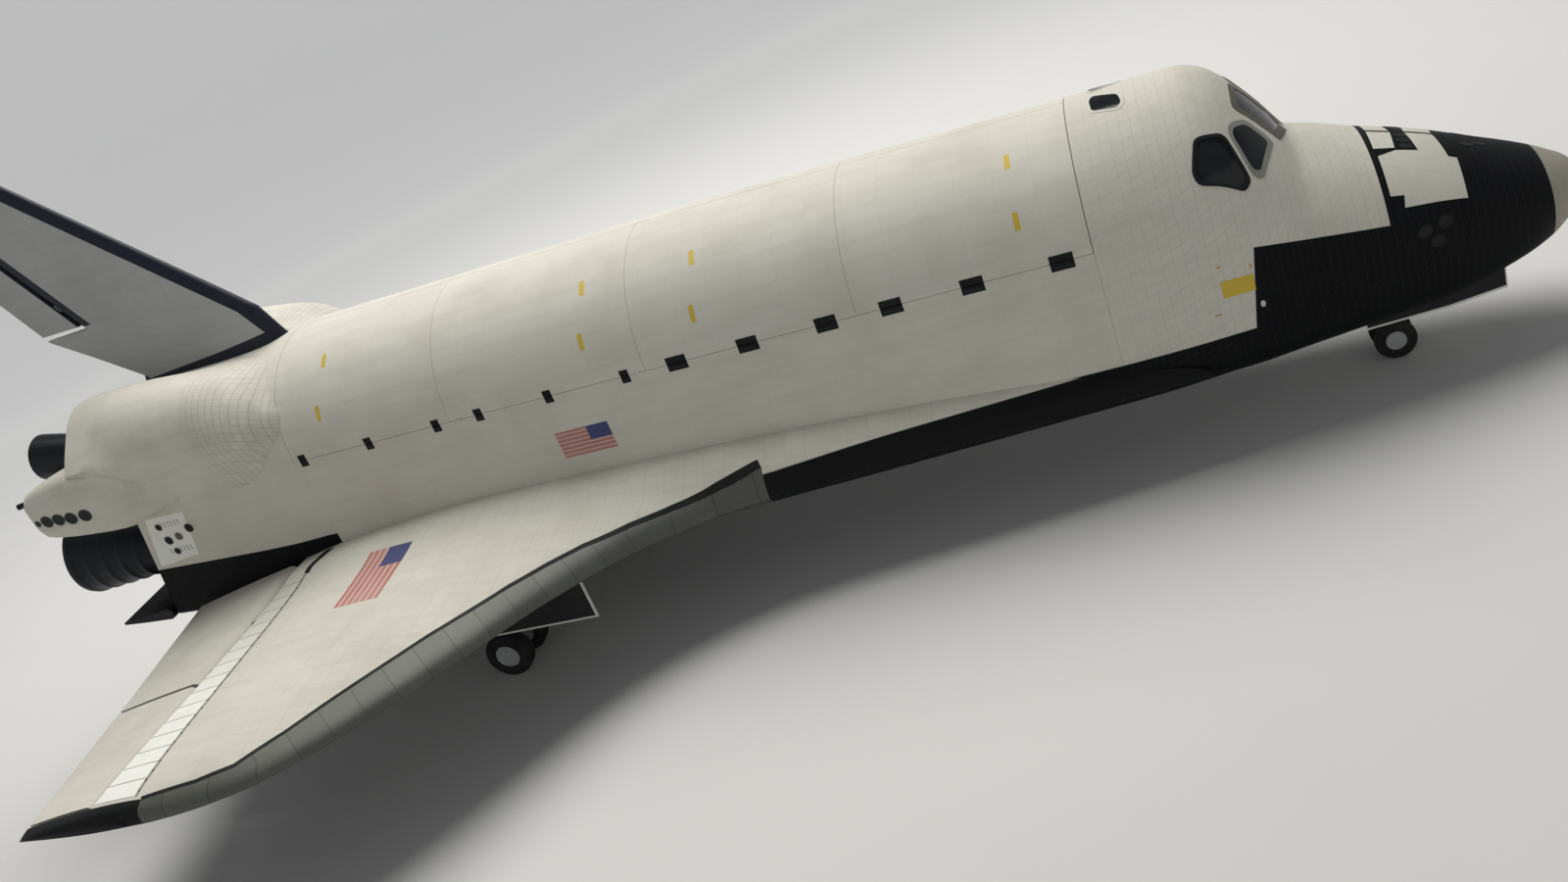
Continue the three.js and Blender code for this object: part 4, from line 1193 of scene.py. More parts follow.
@once
def carbon_panels(name):
    """Grey carbon panels of the wing leading edge, with narrow dark gaps across it."""
    look = Finish(name, 0.5, specular=0.5)
    station, out = look.at["Station"], look.at["Out"]
    past_bend, past_tip = (look.most(look.minus(out, start), 0.0) for start in (180.0, 405.0))
    swept = look.minus(past_bend, past_tip)
    run = look.plus(station, look.plus(look.times(out, 0.2), look.times(swept, 0.8)))
    panel = 840.0 / sizes().edge_panels
    mapped = look.combine(run, 200.0)
    grey, relief = look.tiled(colours().carbon, mapped, panel, 400.0, sizes().seam, 0.4, 0.45, 0.4)
    look.colour(grey)
    look.bump(relief, 0.7, 0.3)
    return look.material


@once
def strip_paint(name):
    """Clean white strip, paler toward the wing tip."""
    look = Finish(name, 0.55)
    weather = look.weather(20.0)
    pale = look.mix(look.ramp(look.at["Out"], 200.0, 320.0), colours().cream, colours().bright)
    look.colour(look.mix(look.times(weather["Stain"], 0.3), pale, colours().cream))
    look.bump(weather["Grain"], 0.3, 0.05)
    return look.material


@once
def pod_skin(name):
    """Cream pod blankets with rows of small tiles at their front."""
    look = Finish(name, 0.75)
    cream, joint = colours().cream, sizes().joint
    mapped = look.combine(look.at["Station"], look.minus(look.at["Height"], look.at["Out"]))
    tiled, relief = look.tiled(cream, mapped, 6.0, 9.0, joint * 1.3, 0.5, 0.12, 0.4)
    plain, _ = look.tiled(cream, mapped, 60.0, 60.0, joint, 0.92, 0.05, 0.4)
    look.colour(look.mix(look.ramp(look.at["Station"], 1382.0, 1398.0, 0.0, 0.9), tiled, plain))
    look.bump(relief, 0.5, 0.12)
    return look.material


@once
def white_tiles(name):
    """White tiles with fine grey joints."""
    look = Finish(name, 0.7)
    mapped = look.combine(look.at["Station"], look.at["Out"])
    tone, relief = look.tiled(colours().cream, mapped, 6.0, 6.0, sizes().joint * 0.6, 0.82, 0.10, 0.3)
    look.colour(tone)
    look.bump(relief, 0.4, 0.1)
    return look.material


@once
def glass(name):
    """Dark window glass with a faint film of dust."""
    look = Finish(name, 0.08, specular=0.22)
    weather = look.weather(24.0, 0.8)
    look.colour(look.mix(look.times(weather["Stain"], 0.2), colours().glass, (0.03, 0.033, 0.036)))
    look.rough(weather["Grain"], 0.05, 0.16)
    return look.material


@once
def tyre_rubber(name):
    """Dark rubber with dust in its grain."""
    look = Finish(name, 0.85, specular=0.2)
    weather = look.weather(14.0, 1.0)
    look.colour(look.mix(look.times(weather["Stain"], 0.25), colours().rubber, (0.09, 0.085, 0.08)))
    look.bump(weather["Grain"], 0.5, 0.1)
    return look.material


@once
def flag(name, where):
    """Faded red and white stripes with a plain blue canton, along the body or across the wing."""
    look = Finish(name, 0.7)
    station, out, height = (look.at[key] for key in ("Station", "Out", "Height"))
    if where == "side":
        rung = look.math("DIVIDE", look.minus(height, 344.5), SIDE_FLAG[3])
        canton = look.least(look.below(station, 1029.0), look.below(356.3, height))
    else:
        rung = look.math("DIVIDE", look.minus(WING_FLAG[1], station), WING_FLAG[1] - WING_FLAG[0])
        canton = look.least(look.below(station, 1236.5), look.below(out, 177.0))
    stripe = look.math("FRACT", look.times(rung, 6.5))
    weather = look.weather()
    faded = look.mix(look.times(weather["Stain"], 0.4), colours().red, (0.5, 0.36, 0.32))
    between = look.mix(0.5, colours().cream, colours().red)
    striped = look.mix(look.below(stripe, 0.54, 0.03), between, faded)
    look.colour(look.mix(canton, striped, colours().blue))
    look.bump(weather["Grain"], 0.3, 0.05)
    return look.material


@once
def painted(name, key, roughness=0.6, metallic=0.0, coat=0.0, depth=0.06):
    """Plain finish in one of the named colours, with soft stains and a fine grain."""
    look = Finish(name, roughness, metallic, coat)
    base = getattr(colours(), key)
    weather = look.weather(30.0, 0.6)
    worn = look.mix(look.times(weather["Stain"], 0.35), base, look.shaded(base, (0.6, 0.58, 0.55)))
    grain = look.ramp(weather["Grain"], 0.3, 0.8, 0.0, 0.3)
    look.colour(look.mix(grain, worn, look.shaded(base, (0.7, 0.7, 0.7))))
    look.rough(weather["Stain"], roughness, min(roughness + 0.15, 1.0))
    look.bump(weather["Grain"], 0.3, depth)
    return look.material


# Pieces of the body


def skin_from(low, high, step):
    """Stations from one end to the other that keep every table row between them."""
    rows = [row for row in BODY[:, 0] if low + 1 < row < high - 1]
    marks = [low, *rows, high]
    return np.unique(np.concatenate([spread(a, b, step) for a, b in zip(marks, marks[1:])]))


def make_nose():
    rings = [body_ring(at) for at in spread(NOSE_TIP, CAP_REAR, 1.5)]
    tip = rings[0] * (1, 0.45, 1) + (-1.1, 0, 0)
    tip[:, 2] = NOSE_LEVEL + (rings[0][:, 2] - NOSE_LEVEL) * 0.5
    cap = painted("cap", 0.55)
    loft("nose_cap_skin", [tip, *rings], "nose_grey", [cap], sharp=60, replaces=("nose_cap",))
    rings = [body_ring(at) for at in skin_from(CAP_REAR + SEAM, BAY_FRONT - SEAM, 5)]
    liner = painted("liner")
    body = loft("forward_skin", rings, "white_tile", [hull_skin(), liner], replaces=("forward_fuselage",))
    cut(body, [block_cutter(*NOSE_WELL, liner)])


def make_middle():
    front, rear = BAY_FRONT + BAY_WALL, BAY_REAR - BAY_WALL
    stations = [BAY_FRONT + SEAM, front, front, *spread(front + 8, rear - 8, 16), rear, rear, BAY_REAR]
    last = len(stations) - 3
    start = math.asin((SILL - BAY_CENTRE) / BAY_RADIUS)
    arc = np.linspace(start, -math.pi - start, BAY_TURNS)
    hollow = np.stack([BAY_RADIUS * np.cos(arc), BAY_CENTRE + BAY_RADIUS * np.sin(arc)], -1)[::-1]
    rings = []
    for i, at in enumerate(stations):
        half = half_ring(at)
        port = np.concatenate([[(DOOR_HALF, SILL)], half[half[:, 1] < SILL - 0.5]])
        inner = hollow.copy()
        if not 2 <= i <= last:
            inner[:, 1] = SILL
        rings.append(at_station(at, np.concatenate([port, port[-2::-1] * (-1, 1), inner])))
    inside = len(rings[0]) - BAY_TURNS

    def pick(i, j):
        return 1 if 1 <= i <= last and j >= inside else 0

    skins = [hull_skin(), painted("liner", 0.8)]
    loft("middle_skin", rings, "white_tile", skins, replaces=("mid_fuselage",), pick=pick)
    for _, sign in SIDES:
        for k, at in enumerate(KNUCKLES):
            dark = any(abs(at - spot) < long / 2 + 3 for spot, long, _ in VENTS)
            paint = painted("black", 0.7) if dark else painted("metal", 0.4, 0.8)
            ends = [(at + along, sign * DOOR_HALF, SILL) for along in (-3, 3)]
            slot = "dark_metal" if dark else "gear_metal"
            rod(f"sill_knuckle_{k}_{sign + 1}", *ends, 1.0, slot, paint, 16)


def make_aft():
    rings = [body_ring(at) for at in skin_from(BAY_REAR + SEAM, BASE_STATION, 9)]
    leaned = BASE_STATION - np.maximum(rings[-1][:, 2] - LEAN_FOOT, 0) * BASE_LEAN
    rings = [ring for ring in rings if ring[0, 0] < LEAN_FROM]
    steps = 7
    for t in np.arange(1, steps + 1) / steps:
        ring = body_ring(LEAN_FROM + (BASE_STATION - LEAN_FROM) * t)
        ring[:, 0] = LEAN_FROM + (leaned - LEAN_FROM) * t
        rings.append(ring)
    loft("aft_skin", rings, "white_tile", [hull_skin(), black_tiles()], replaces=("aft_fuselage",))
    for y in FLAP_LUGS:
        lug(f"flap_lug_{y - FLAP_LUGS[0]}", (FLAP_HINGE, y, FLAP_LEVEL), 2.0, 20)


def lug(name, centre, radius, reach):
    """Hinge lug across the model, with its arm toward the nose."""
    at, middle, level = centre
    turn = np.linspace(math.pi / 2, -math.pi / 2, 13)
    outline = [(at - reach, level - radius), (at - reach, level + radius)]
    outline += [(at + radius * math.cos(t), level + radius * math.sin(t)) for t in turn]
    plate(name, outline, middle - LUG_HALF, middle + LUG_HALF, "dark_metal", painted("metal", 0.45, 0.8))


def door_rings(deep, thick, stations, low, inset):
    """Curved panel of a bay door, from a depth under the skin, by its lowest angle and inner edge."""
    turn = low + (math.pi / 2 - low) * np.linspace(0, 1, DOOR_TURNS)
    rings = []
    for at in stations:
        rise = smooth_row("body", at)[4] - SILL
        faces = []
        for under in (deep, deep + thick):
            out = np.maximum((DOOR_HALF - under) * np.cos(turn), inset)
            faces.append(np.stack([out, SILL + (rise - under) * np.sin(turn)], -1))
        rings.append(at_station(at, np.concatenate([faces[0], faces[1][::-1]])))
    return np.array(rings)


def make_doors():
    rings = door_rings(0, DOOR_THICK, spread(BAY_FRONT + 0.5, BAY_REAR - 0.25, 16), 0.004, 0.25)
    lining = door_rings(DOOR_THICK + SEAM, 1.4, spread(BAY_FRONT + 20, BAY_REAR - 170, 14), 0.14, 6.0)
    skins = [door_skin(), painted("liner", 0.7)]
    silver = painted("silver", 0.3, 0.85, 0.0, 0.008)

    def pick(_, j):
        return 0 if j < DOOR_TURNS - 1 else 1

    for word, sign in SIDES:
        ride = "payload_door_" + word
        look = {"body": ride, "sharp": 30, "replaces": (ride,), "pick": pick}
        door = loft("bay_door_" + word, rings * (1, sign, 1), "white_tile", skins, **look)
        rooms = []
        for at in KNUCKLES:
            ends = [(at + along, sign * DOOR_HALF, SILL) for along in (-3.1, 3.1)]
            rooms.append(rod_cutter(*ends, 1.1, skins[0]))
        cut(door, rooms)
        look = {"body": ride, "sharp": 30, "replaces": ("radiator_" + word,)}
        loft("radiator_face_" + word, lining * (1, sign, 1), "radiator_silver", [silver], **look)


# Pieces of the wings


def edge_prism(sign, grow, material):
    """Upright block over the plan of the grey leading edge."""
    line = EDGE_LINE.copy()
    line[:, 1] -= 1.4 * grow
    line[0, 0] -= grow
    line[-1, 0] += grow
    plan = [*map(tuple, line), (line[-1, 0], 460), (line[0, 0], 460)]
    return prism_cutter(*[[(at, sign * out, up) for at, out in plan] for up in (200, 360)], material)


def wing_rings(sign):
    rows = WING[1:-1, 0]
    outs = np.concatenate([[98, WING_ROOT], spread(108, TIP_FROM - 1, 4), rows[rows < TIP_FROM]])
    outs = np.concatenate([np.unique(outs), [TIP_FROM - 0.1], spread(TIP_FROM, WING_TIP, 2.3)])
    rings = []
    for out in outs:
        shape = max(out, WING_ROOT)
        rear = box_rear(shape) if out < TIP_FROM else trail_at(shape)
        ring = wing_ring(shape, lead_at(shape), rear)
        ring[:, 1] = out
        rings.append(ring)
    last = rings[-1].copy()
    middle = (last[:, 2].max() + last[:, 2].min()) / 2
    last[:, 1] += 1.2
    last[:, 2] = middle + (last[:, 2] - middle) * 0.45
    return np.array(rings + [last]) * (1, sign, 1)


def make_wings():
    tiles, liner, carbon = black_tiles(), painted("liner"), carbon_panels()

    def pick(_, j):
        return 1 if j >= WING_STEPS - 1 else 0

    for word, sign in SIDES:
        rings = wing_rings(sign)
        skins = [wing_skin(), tiles, liner]
        replaced = ("wing_" + word,)
        wing = loft("wing_skin_" + word, rings, "white_tile", skins, sharp=35, replaces=replaced, pick=pick)
        replaced = ("leading_edge_" + word,)
        edge = loft("edge_panels_" + word, rings, "carbon_grey", [carbon], sharp=35, replaces=replaced)
        (front, inner, low), (rear, outer, high) = MAIN_WELL
        near, far = sorted((sign * inner, sign * outer))
        well = block_cutter((front, near, low), (rear, far, high), liner)
        cut(wing, [edge_prism(sign, SEAM, tiles), well])
        cut(edge, [edge_prism(sign, 0, carbon)], "INTERSECT")
        for name, start, end, lugs in ELEVONS:
            make_elevon(name, word, sign, start, end, lugs)
        make_edge_line(word, sign)


def strip_front(out):
    """Front edge of the pale strip ahead of the elevons."""
    return 1340 - 11 * max(0.0, (out - 118) / 306) ** 2


def make_edge_line(word, sign):
    """Dark tiles in a row behind the grey leading edge, and the pale strip ahead of the elevons."""
    black, band = painted("black", 0.7), painted("frame", 0.7)

    def lay(name, outline, slot, material, height, step=6.0):
        patch(name, outline, on_wing(sign), slot, material, height, step, core=0.0)

    width = np.interp(EDGE_LINE[:, 0], [880, 1000, 1320], [5.4, 3.8, 3.0])
    outline = [(at, out - 0.15) for at, out in EDGE_LINE]
    outline += [(at + w * 0.5, out - w) for (at, out), w in zip(EDGE_LINE[::-1], width[::-1])]
    lay("edge_tiles_" + word, outline, "dark_tile", black, 0.22, 3.0)
    start, end, count, dots = 122, 424, 17, 30
    step = (end - start) / count
    for k in range(count):
        a, b = start + k * step + 0.5, start + (k + 1) * step - 0.5
        outline = [(strip_front(a), a), (strip_front(b), b), (box_rear(b) - 0.6, b), (box_rear(a) - 0.6, a)]
        lay(f"hinge_strip_{word}_{k}", outline, "white_tile", strip_paint(), 0.18)
    outs = spread(start, end, 10)
    bed = [(strip_front(y), y) for y in outs] + [(box_rear(y) - 0.5, y) for y in outs[::-1]]
    lay("strip_bed_" + word, bed, "grey_tile", band, 0.06)
    for k in range(dots):
        out = start + (end - start) * (k + 0.5) / dots
        dot = disc_outline((strip_front(out) - 1.9, out), (0.9, 1.3), 8)
        lay(f"strip_dot_{word}_{k}", dot, "dark_tile", black, 0.22)
    line = [(strip_front(y) - 3.3, y) for y in outs] + [(strip_front(y) - 0.4, y) for y in outs[::-1]]
    lay("strip_band_" + word, line, "grey_tile", band, 0.12)
    block = [(1328, 110), (1338, 109), (1340, 147), (1333.5, 150)]
    lay("strip_end_" + word, block, "dark_tile", black, 0.3, 5.0)


def room_cutter(hinge, level, slope, middle, radius, far, swing):
    """Room in a hinged piece for a thin lug that swings to both sides of straight ahead."""
    half = math.radians(swing)
    rise, run = radius * math.cos(half), radius * math.sin(half)
    ahead = np.linspace(math.pi - half, math.pi + half, 9)
    outline = [(far * math.cos(t), far * math.sin(t)) for t in ahead]
    outline[0] = (outline[0][0] + run, outline[0][1] + rise)
    outline[-1] = (outline[-1][0] + run, outline[-1][1] - rise)
    behind = np.linspace(half - math.pi / 2, math.pi / 2 - half, 12)
    outline += [(radius * math.cos(t), radius * math.sin(t)) for t in behind]
    walls = []
    for reach in (-ROOM_HALF, ROOM_HALF):
        walls.append([(hinge + x, middle + reach, level + h + reach * slope) for x, h in outline])
    return prism_cutter(*walls, black_tiles())


def elevon_ring(out):
    """Section of an elevon, round about its hinge and then along the wing's faces."""
    radius = hinge_nose(out)
    mid = sum(wing_faces(out, ELEVON_HINGE)) / 2
    turn = np.linspace(0, math.pi / 2, 10)
    nose = [(ELEVON_HINGE - radius * math.cos(t), max(radius * math.sin(t), 0.4)) for t in turn]
    back = ELEVON_HINGE + (trail_at(out) - ELEVON_HINGE) * np.linspace(0, 1, 9)[1:]
    above = [(x, out, mid + h) for x, h in nose] + [(x, out, wing_faces(out, x)[0]) for x in back]
    below = [(x, out, mid - h) for x, h in nose] + [(x, out, wing_faces(out, x)[1]) for x in back]
    return np.array(above + below[::-1])


def make_elevon(name, word, sign, start, end, lugs):
    first, last = elevon_ring(start), elevon_ring(end)
    rings = np.array([first + (last - first) * t for t in np.linspace(0, 1, 14)])
    half = len(first) // 2

    def pick(_, j):
        return 0 if j < half else 1

    body = f"elevon_{name}_{word}"
    skins = [wing_skin(), black_tiles()]
    surface = loft("surface_" + body, rings * (1, sign, 1), "white_tile", skins, body, 40, (body,), pick)
    near, far = (sum(wing_faces(y, ELEVON_HINGE)) / 2 for y in (start, end))
    slope = (far - near) / (end - start)
    rooms = []
    for k, out in enumerate(lugs):
        level = near + slope * (out - start)
        nose = hinge_nose(out)
        radius = nose * 0.3
        lug(f"lug_{body}_{k}", (ELEVON_HINGE, sign * out, level), radius, nose + PLAY + 4)
        room = (ELEVON_HINGE, level, sign * slope, sign * out, radius + 0.4, nose + 4, 37)
        rooms.append(room_cutter(*room))
    cut(surface, rooms)


# Fin, its split rudder and the body flap


def fin_row(up):
    """Leading and trailing stations and thickness of the fin, whose edges are straight."""
    return np.array([np.interp(up, FIN[:, 0], FIN[:, k]) for k in (1, 2, 3)])


def fin_ring(up, front, rear, inner=None, steps=22):
    """Section of the fin, whole or from its skin to an inner face."""
    lead, trail, thick = fin_row(up)
    places = eased(front, rear, steps)
    s = np.clip((places - lead) / (trail - lead), 0, 1)
    bow = np.sqrt(np.maximum(0, 1 - ((0.4 - s) / 0.4) ** 2))
    y = 0.5 + thick / 2 * np.where(s < 0.4, bow, 1 - 0.85 * (s - 0.4) / 0.6)
    level = np.full(steps, up)
    port = np.stack([places, y, level], -1)
    if inner is None:
        other = port[::-1] * (1, -1, 1)
    else:
        other = np.stack([places[::-1], np.full(steps, inner), level], -1)
    return np.concatenate([port, other])


def rudder_line(up):
    """Station of the rudder's front at a height."""
    low = fin_row(RUDDER_BASE)[1] - 52
    high = fin_row(RUDDER_HEAD)[1] - 44
    return low + (high - low) * (up - RUDDER_BASE) / (RUDDER_HEAD - RUDDER_BASE)


def make_fin():
    foot, head = RUDDER_BASE - 5, RUDDER_HEAD + 5
    marks = ((FIN_FOOT, 7), (531, 7), (559, 12), (800, 4), (815.7, 0))
    ups = np.unique(np.concatenate([spread(a, b, step) for (a, step), (b, _) in zip(marks, marks[1:])]))
    heights = [(up, False) for up in ups if up <= foot] + [(foot, False), (foot, True)]
    heights += [(up, True) for up in ups if foot < up < head] + [(head, True), (head, False)]
    heights += [(up, False) for up in ups if up >= head]
    rings = []
    for up, beside in heights:
        level = max(up, FIN[0, 0])
        lead, trail, _ = fin_row(level)
        rear = min(rudder_line(level) - 6, trail - 1) if beside else trail
        rings.append(fin_ring(up, lead, rear, steps=26))
    skin = [fin_skin()]
    loft("fin_skin_piece", rings, "grey_tile", skin, sharp=30, replaces=("vertical_fin",))
    rings = []
    for up in spread(RUDDER_BASE, RUDDER_HEAD, 12):
        rings.append(fin_ring(up, rudder_line(up), fin_row(up)[1], 0.8 + SEAM))
    for word, sign in SIDES:
        body = "speed_brake_" + word
        panel = np.array(rings) * (1, sign, 1)
        loft("brake_panel_" + word, panel, "grey_tile", skin, body, 30, (body,))


def make_flap():
    outline = np.array(FLAP_SECTION)
    section = np.concatenate([outline, outline[::-1] * (1, -1)]) + (FLAP_HINGE, FLAP_LEVEL)
    rings = [np.insert(section, 1, y, axis=1) for y in spread(-FLAP_HALF, FLAP_HALF, 12)]
    flap = loft("flap_skin", rings, "dark_tile", [black_tiles()], "body_flap", 35, ("body_flap",))
    cut(flap, [room_cutter(FLAP_HINGE, FLAP_LEVEL, 0, y, 2.6, 9, 24) for y in FLAP_LUGS])


# Engines and pods


def pod_ring(at):
    """Pod section, a skin spanned over its oval and its three corner spots."""
    out, up, wide, rise, near, above, low, flare, flare_up = smooth_row("pod", at)
    half = smooth_row("body", at)[2]
    crest = height_at(at, near)
    soft = POD_CORNER
    spots = (
        (near + soft, crest + above - soft),
        (half + above - soft, low + soft),
        (flare - soft, flare_up - soft),
    )
    turn = np.linspace(0, 2 * math.pi, 180, endpoint=False)
    limit = np.stack([np.cos(turn), np.sin(turn)], -1)
    reach = np.hypot(wide * limit[:, 0], rise * limit[:, 1])
    for y, z in spots:
        reach = np.maximum(reach, (y - out) * limit[:, 0] + (z - up) * limit[:, 1] + soft)
    ring = []
    for t in np.linspace(0, 2 * math.pi, POD_POINTS, endpoint=False):
        way = np.array([math.cos(t), math.sin(t)])
        facing = limit @ way
        far = np.min(reach[facing > 0.05] / facing[facing > 0.05])
        ring.append((at, out + far * way[0], up + far * way[1]))
    return np.array(ring)


def housing_ring(at):
    near, out, low, high = smooth_row("housing", at)
    middle, size = ((near + out) / 2, (low + high) / 2), ((out - near) / 2, (high - low) / 2)
    return np.array([(at, a, b) for a, b in disc_outline(middle, size, 44, 4.0)])


def tapered(rings, length, step, power, narrow, flatten, shift, lift):
    """Rings with a smaller and smaller copy of the first added ahead of them."""
    first = rings[0]
    middle = first.mean(0)
    for back in spread(step, length, step):
        ease = (back / length) ** power
        size = (1, 1 - narrow * ease, 1 - flatten * ease)
        rings.insert(0, middle + (first - middle) * size + (-back, shift * ease, lift * ease))
    return np.array(rings)


def make_pods():
    for word, sign in SIDES:
        stations = np.unique(np.concatenate([spread(POD[0, 0], POD[-1, 0], 5), POD[:, 0]]))
        rings = tapered([pod_ring(at) for at in stations], *POD_FRONT) * (1, sign, 1)
        loft("pod_skin_" + word, rings, "white_tile", [pod_skin()], replaces=("oms_pod_" + word,))
        stations = np.unique(np.concatenate([spread(HOUSING[0, 0], HOUSING[-1, 0], 6), HOUSING[:, 0]]))
        rings = tapered([housing_ring(at) for at in stations], *HOUSING_FRONT) * (1, sign, 1)
        loft("thruster_housing_" + word, rings, "white_tile", [pod_skin()])


def bell_axis(pitch, yaw):
    a, b = math.radians(pitch), math.radians(yaw)
    return np.array([-math.cos(a) * math.cos(b), math.cos(a) * math.sin(b), math.sin(a)])


def bell_profile(length, throat, mouth, wall, ribs, rib):
    """Outline of a nozzle from its head round the lip and down inside to its floor."""

    def radius(t):
        return throat + (mouth - throat) * t**0.62

    outside = []
    for t in np.arange(61) / 60:
        centres = [0.16 + 0.8 * r / max(ribs - 1, 1) for r in range(ribs)]
        bumps = [rib * math.exp(-(((t - centre) * length / 1.7) ** 2)) for centre in centres]
        outside.append((t * length, radius(t) + wall + max(bumps, default=0.0)))
    inside = [(t * length, radius(t)) for t in np.linspace(1, 0.3, 22)]
    return [(0.0, 0.6), *outside, *inside, (0.3 * length, 0.6)]


def make_engines():
    main, small, base = painted("nozzle", 0.45, 0.6), painted("nozzle", 0.4, 0.5), black_tiles()
    for word, length, at, out, up, pitch, yaw in MAIN_NOZZLES:
        profile = bell_profile(length, 12, 43.5, 1.8, sizes().ribs, sizes().rib)
        look = {"sharp": 50, "replaces": ("main_engine_" + word,), "capped": False}
        centre, axis = (-at, out, up), bell_axis(pitch, yaw)
        lathe("engine_bell_" + word, centre, axis, profile, "nozzle_dark", main, **look)
    at, out, up = POD_NOZZLE
    for word, sign in SIDES:
        profile = bell_profile(70, 12, 21, 1.5, 0, 0)
        look = {"sharp": 50, "replaces": ("oms_nozzle_" + word,), "capped": False}
        centre, axis = (-at, out * sign, up), bell_axis(9, 4 * sign)
        lathe("pod_nozzle_" + word, centre, axis, profile, "nozzle_dark", small, 64, **look)
    outline = disc_outline(*BASE_PLATE, 60, 9.0)
    rings = []
    for back in (0.15, 1.5):
        rings.append([(BASE_STATION + back - (z - LEAN_FOOT) * BASE_LEAN, y, z) for y, z in outline])
    loft("base_plate", rings, "dark_tile", [base], sharp=30, replaces=("base_heat_shield",))
    for word, at, y, z in DOMES:
        look = {"sharp": 50, "capped": False}
        lathe("engine_dome_" + word, (-at, y, z), (-26, 0, 3), DOME_PROFILE, "dark_tile", base, 64, **look)


# Windows, marks and openings


def make_windows():
    roof = rounded(top_outline(ROOF_PANE), 4)
    for word, sign in SIDES:
        surface = on_skin(sign)
        for name, outside, inside, key, corners in PANES:
            outline = skin_outline(corners)
            outer, inner = rounded(scaled(outline, outside), 5), rounded(scaled(outline, inside), 4)
            swap = ("windshield",) if name == "front" and sign < 0 else ()
            rim = painted(key, 0.6)
            framed(f"pane_frame_{name}_{word}", outer, inner, surface, "dark_glass", rim, 0.5, 3, swap)
            pane = scaled(inner, 1.03)
            patch(f"pane_glass_{name}_{word}", pane, surface, "dark_glass", glass(), 0.1)
        outer, inner = scaled(roof, 1.12), scaled(roof, 0.93)
        framed("roof_frame_" + word, outer, inner, surface, "dark_glass", painted("cream", 0.7), 0.35)
        patch("roof_glass_" + word, scaled(roof, 0.95), surface, "dark_glass", glass(), 0.1)


def make_vents():
    """Dark vents on the line of the doors, in two parts that stay clear when the doors swing."""
    black, slat = painted("black", 0.7), painted("nozzle", 0.6)
    for k, (at, long, tall) in enumerate(VENTS):
        upper = oblong(at, SILL + 0.95 + tall / 2, long, tall - 0.7)
        lower = oblong(at, SILL - 0.75 - tall / 2, long, tall)
        edge = oblong(at, SILL - 3.7, long * 0.8, 0.9)
        both_sides(f"vent_upper_{k}", upper, "dark_tile", black, 0.25, on_side, 2.6, 0.1, "payload_door_")
        both_sides(f"vent_lower_{k}", lower, "dark_tile", black, 0.25, on_side, 4.0, 0.1)
        both_sides(f"vent_slat_{k}", edge, "dark_metal", slat, 0.5, on_side, 13.0, 0.1)


def make_marks():
    # hole: near-black discs for the thruster and port holes, partly the nozzles' own dark and partly painted
    # shade of their hollows
    white, hole, yellow = white_tiles(), painted("glass", 0.6), painted("yellow", 0.6)
    for name, corners in NOSE_PANELS:
        both_sides("nose_panel_" + name, top_outline(corners), "white_tile", white)
    for name, size, spots in TOP_PORTS:
        for k, spot in enumerate(top_outline(spots)):
            both_sides(f"{name}_{k}", disc_outline(spot, size), "dark_metal", hole, 0.3)
    for k, spot in enumerate(SIDE_THRUSTERS):
        outline = disc_outline(spot, (5.2, 4.6), 24)
        both_sides(f"side_thruster_{k}", outline, "dark_metal", hole, 0.3, on_side)
    for k, (at, girth) in enumerate(skin_outline(DOOR_MARKS)):
        mark = oblong(at, girth, 4.4, 14)
        both_sides(f"door_mark_{k}", mark, "white_tile", yellow, 0.1, body="payload_door_")
    both_sides("rescue_plate", oblong(489.2, 349.2, 23.5, 13.5), "white_tile", yellow, 0.12, on_side)
    for k, mark in enumerate(FADED_MARKS):
        both_sides(f"faded_mark_{k}", oblong(*mark), "white_tile", painted("orange", 0.7), 0.06, on_side)
    fitting = disc_outline((474.7, 330), (1.8, 2.6), 14)
    both_sides("ground_fitting", fitting, "gear_metal", painted("metal", 0.3, 0.8), 0.5, on_side)


def make_service_plate():
    """Plate of supply ports low on each side of the aft body."""
    both_sides("service_plate", SERVICE_PLATE, "white_tile", painted("bright", 0.6), 0.25, on_side)
    for k, (at, up, radius, key) in enumerate(SERVICE_PORTS):
        port = disc_outline((at, up), (radius, radius), 24)
        both_sides(f"service_port_{k}", port, "dark_metal", painted(key, 0.7), 0.45, on_side, 4.0)
        rim = disc_outline((at, up), (radius + 0.8, radius + 0.8), 24)
        for word, sign in SIDES:
            name, metal = f"service_rim_{k}_{word}", painted("metal", 0.5, 0.6)
            framed(name, rim, port, on_side(sign), "gear_metal", metal, 0.6, 1)
    for k in range(2 * SERVICE_TICKS):
        row, col = divmod(k, SERVICE_TICKS)
        tick = oblong(1474 + 4.2 * col + 3 * row, 380 - 29 * row, 0.8, 6)
        both_sides(f"service_tick_{k}", tick, "dark_tile", painted("frame_dark", 0.7), 0.3, on_side, 8.0)


def make_hatch():
    """Round crew hatch on the port side, with its small window."""
    surface = on_side(1)
    rings = [disc_outline(HATCH, (radius, radius), 40) for radius in HATCH_RADII]
    framed("hatch_seam", rings[0], rings[1], surface, "dark_tile", painted("frame_dark", 0.7), 0.08, 1)
    framed("hatch_window_frame", rings[2], rings[3], surface, "dark_glass", painted("frame", 0.5), 0.4, 1)
    patch("hatch_window", rings[3], surface, "dark_glass", glass(), 0.12)


def make_flags():
    both_sides("side_flag", oblong(*SIDE_FLAG), "white_tile", flag("side"), 0.08, on_side)
    front, rear, near, far = WING_FLAG
    outline = [(front, near), (rear, near), (rear, far), (front, far)]
    patch("wing_flag", outline, on_wing(-1), "white_tile", flag("wing"), 0.15, core=0.0)


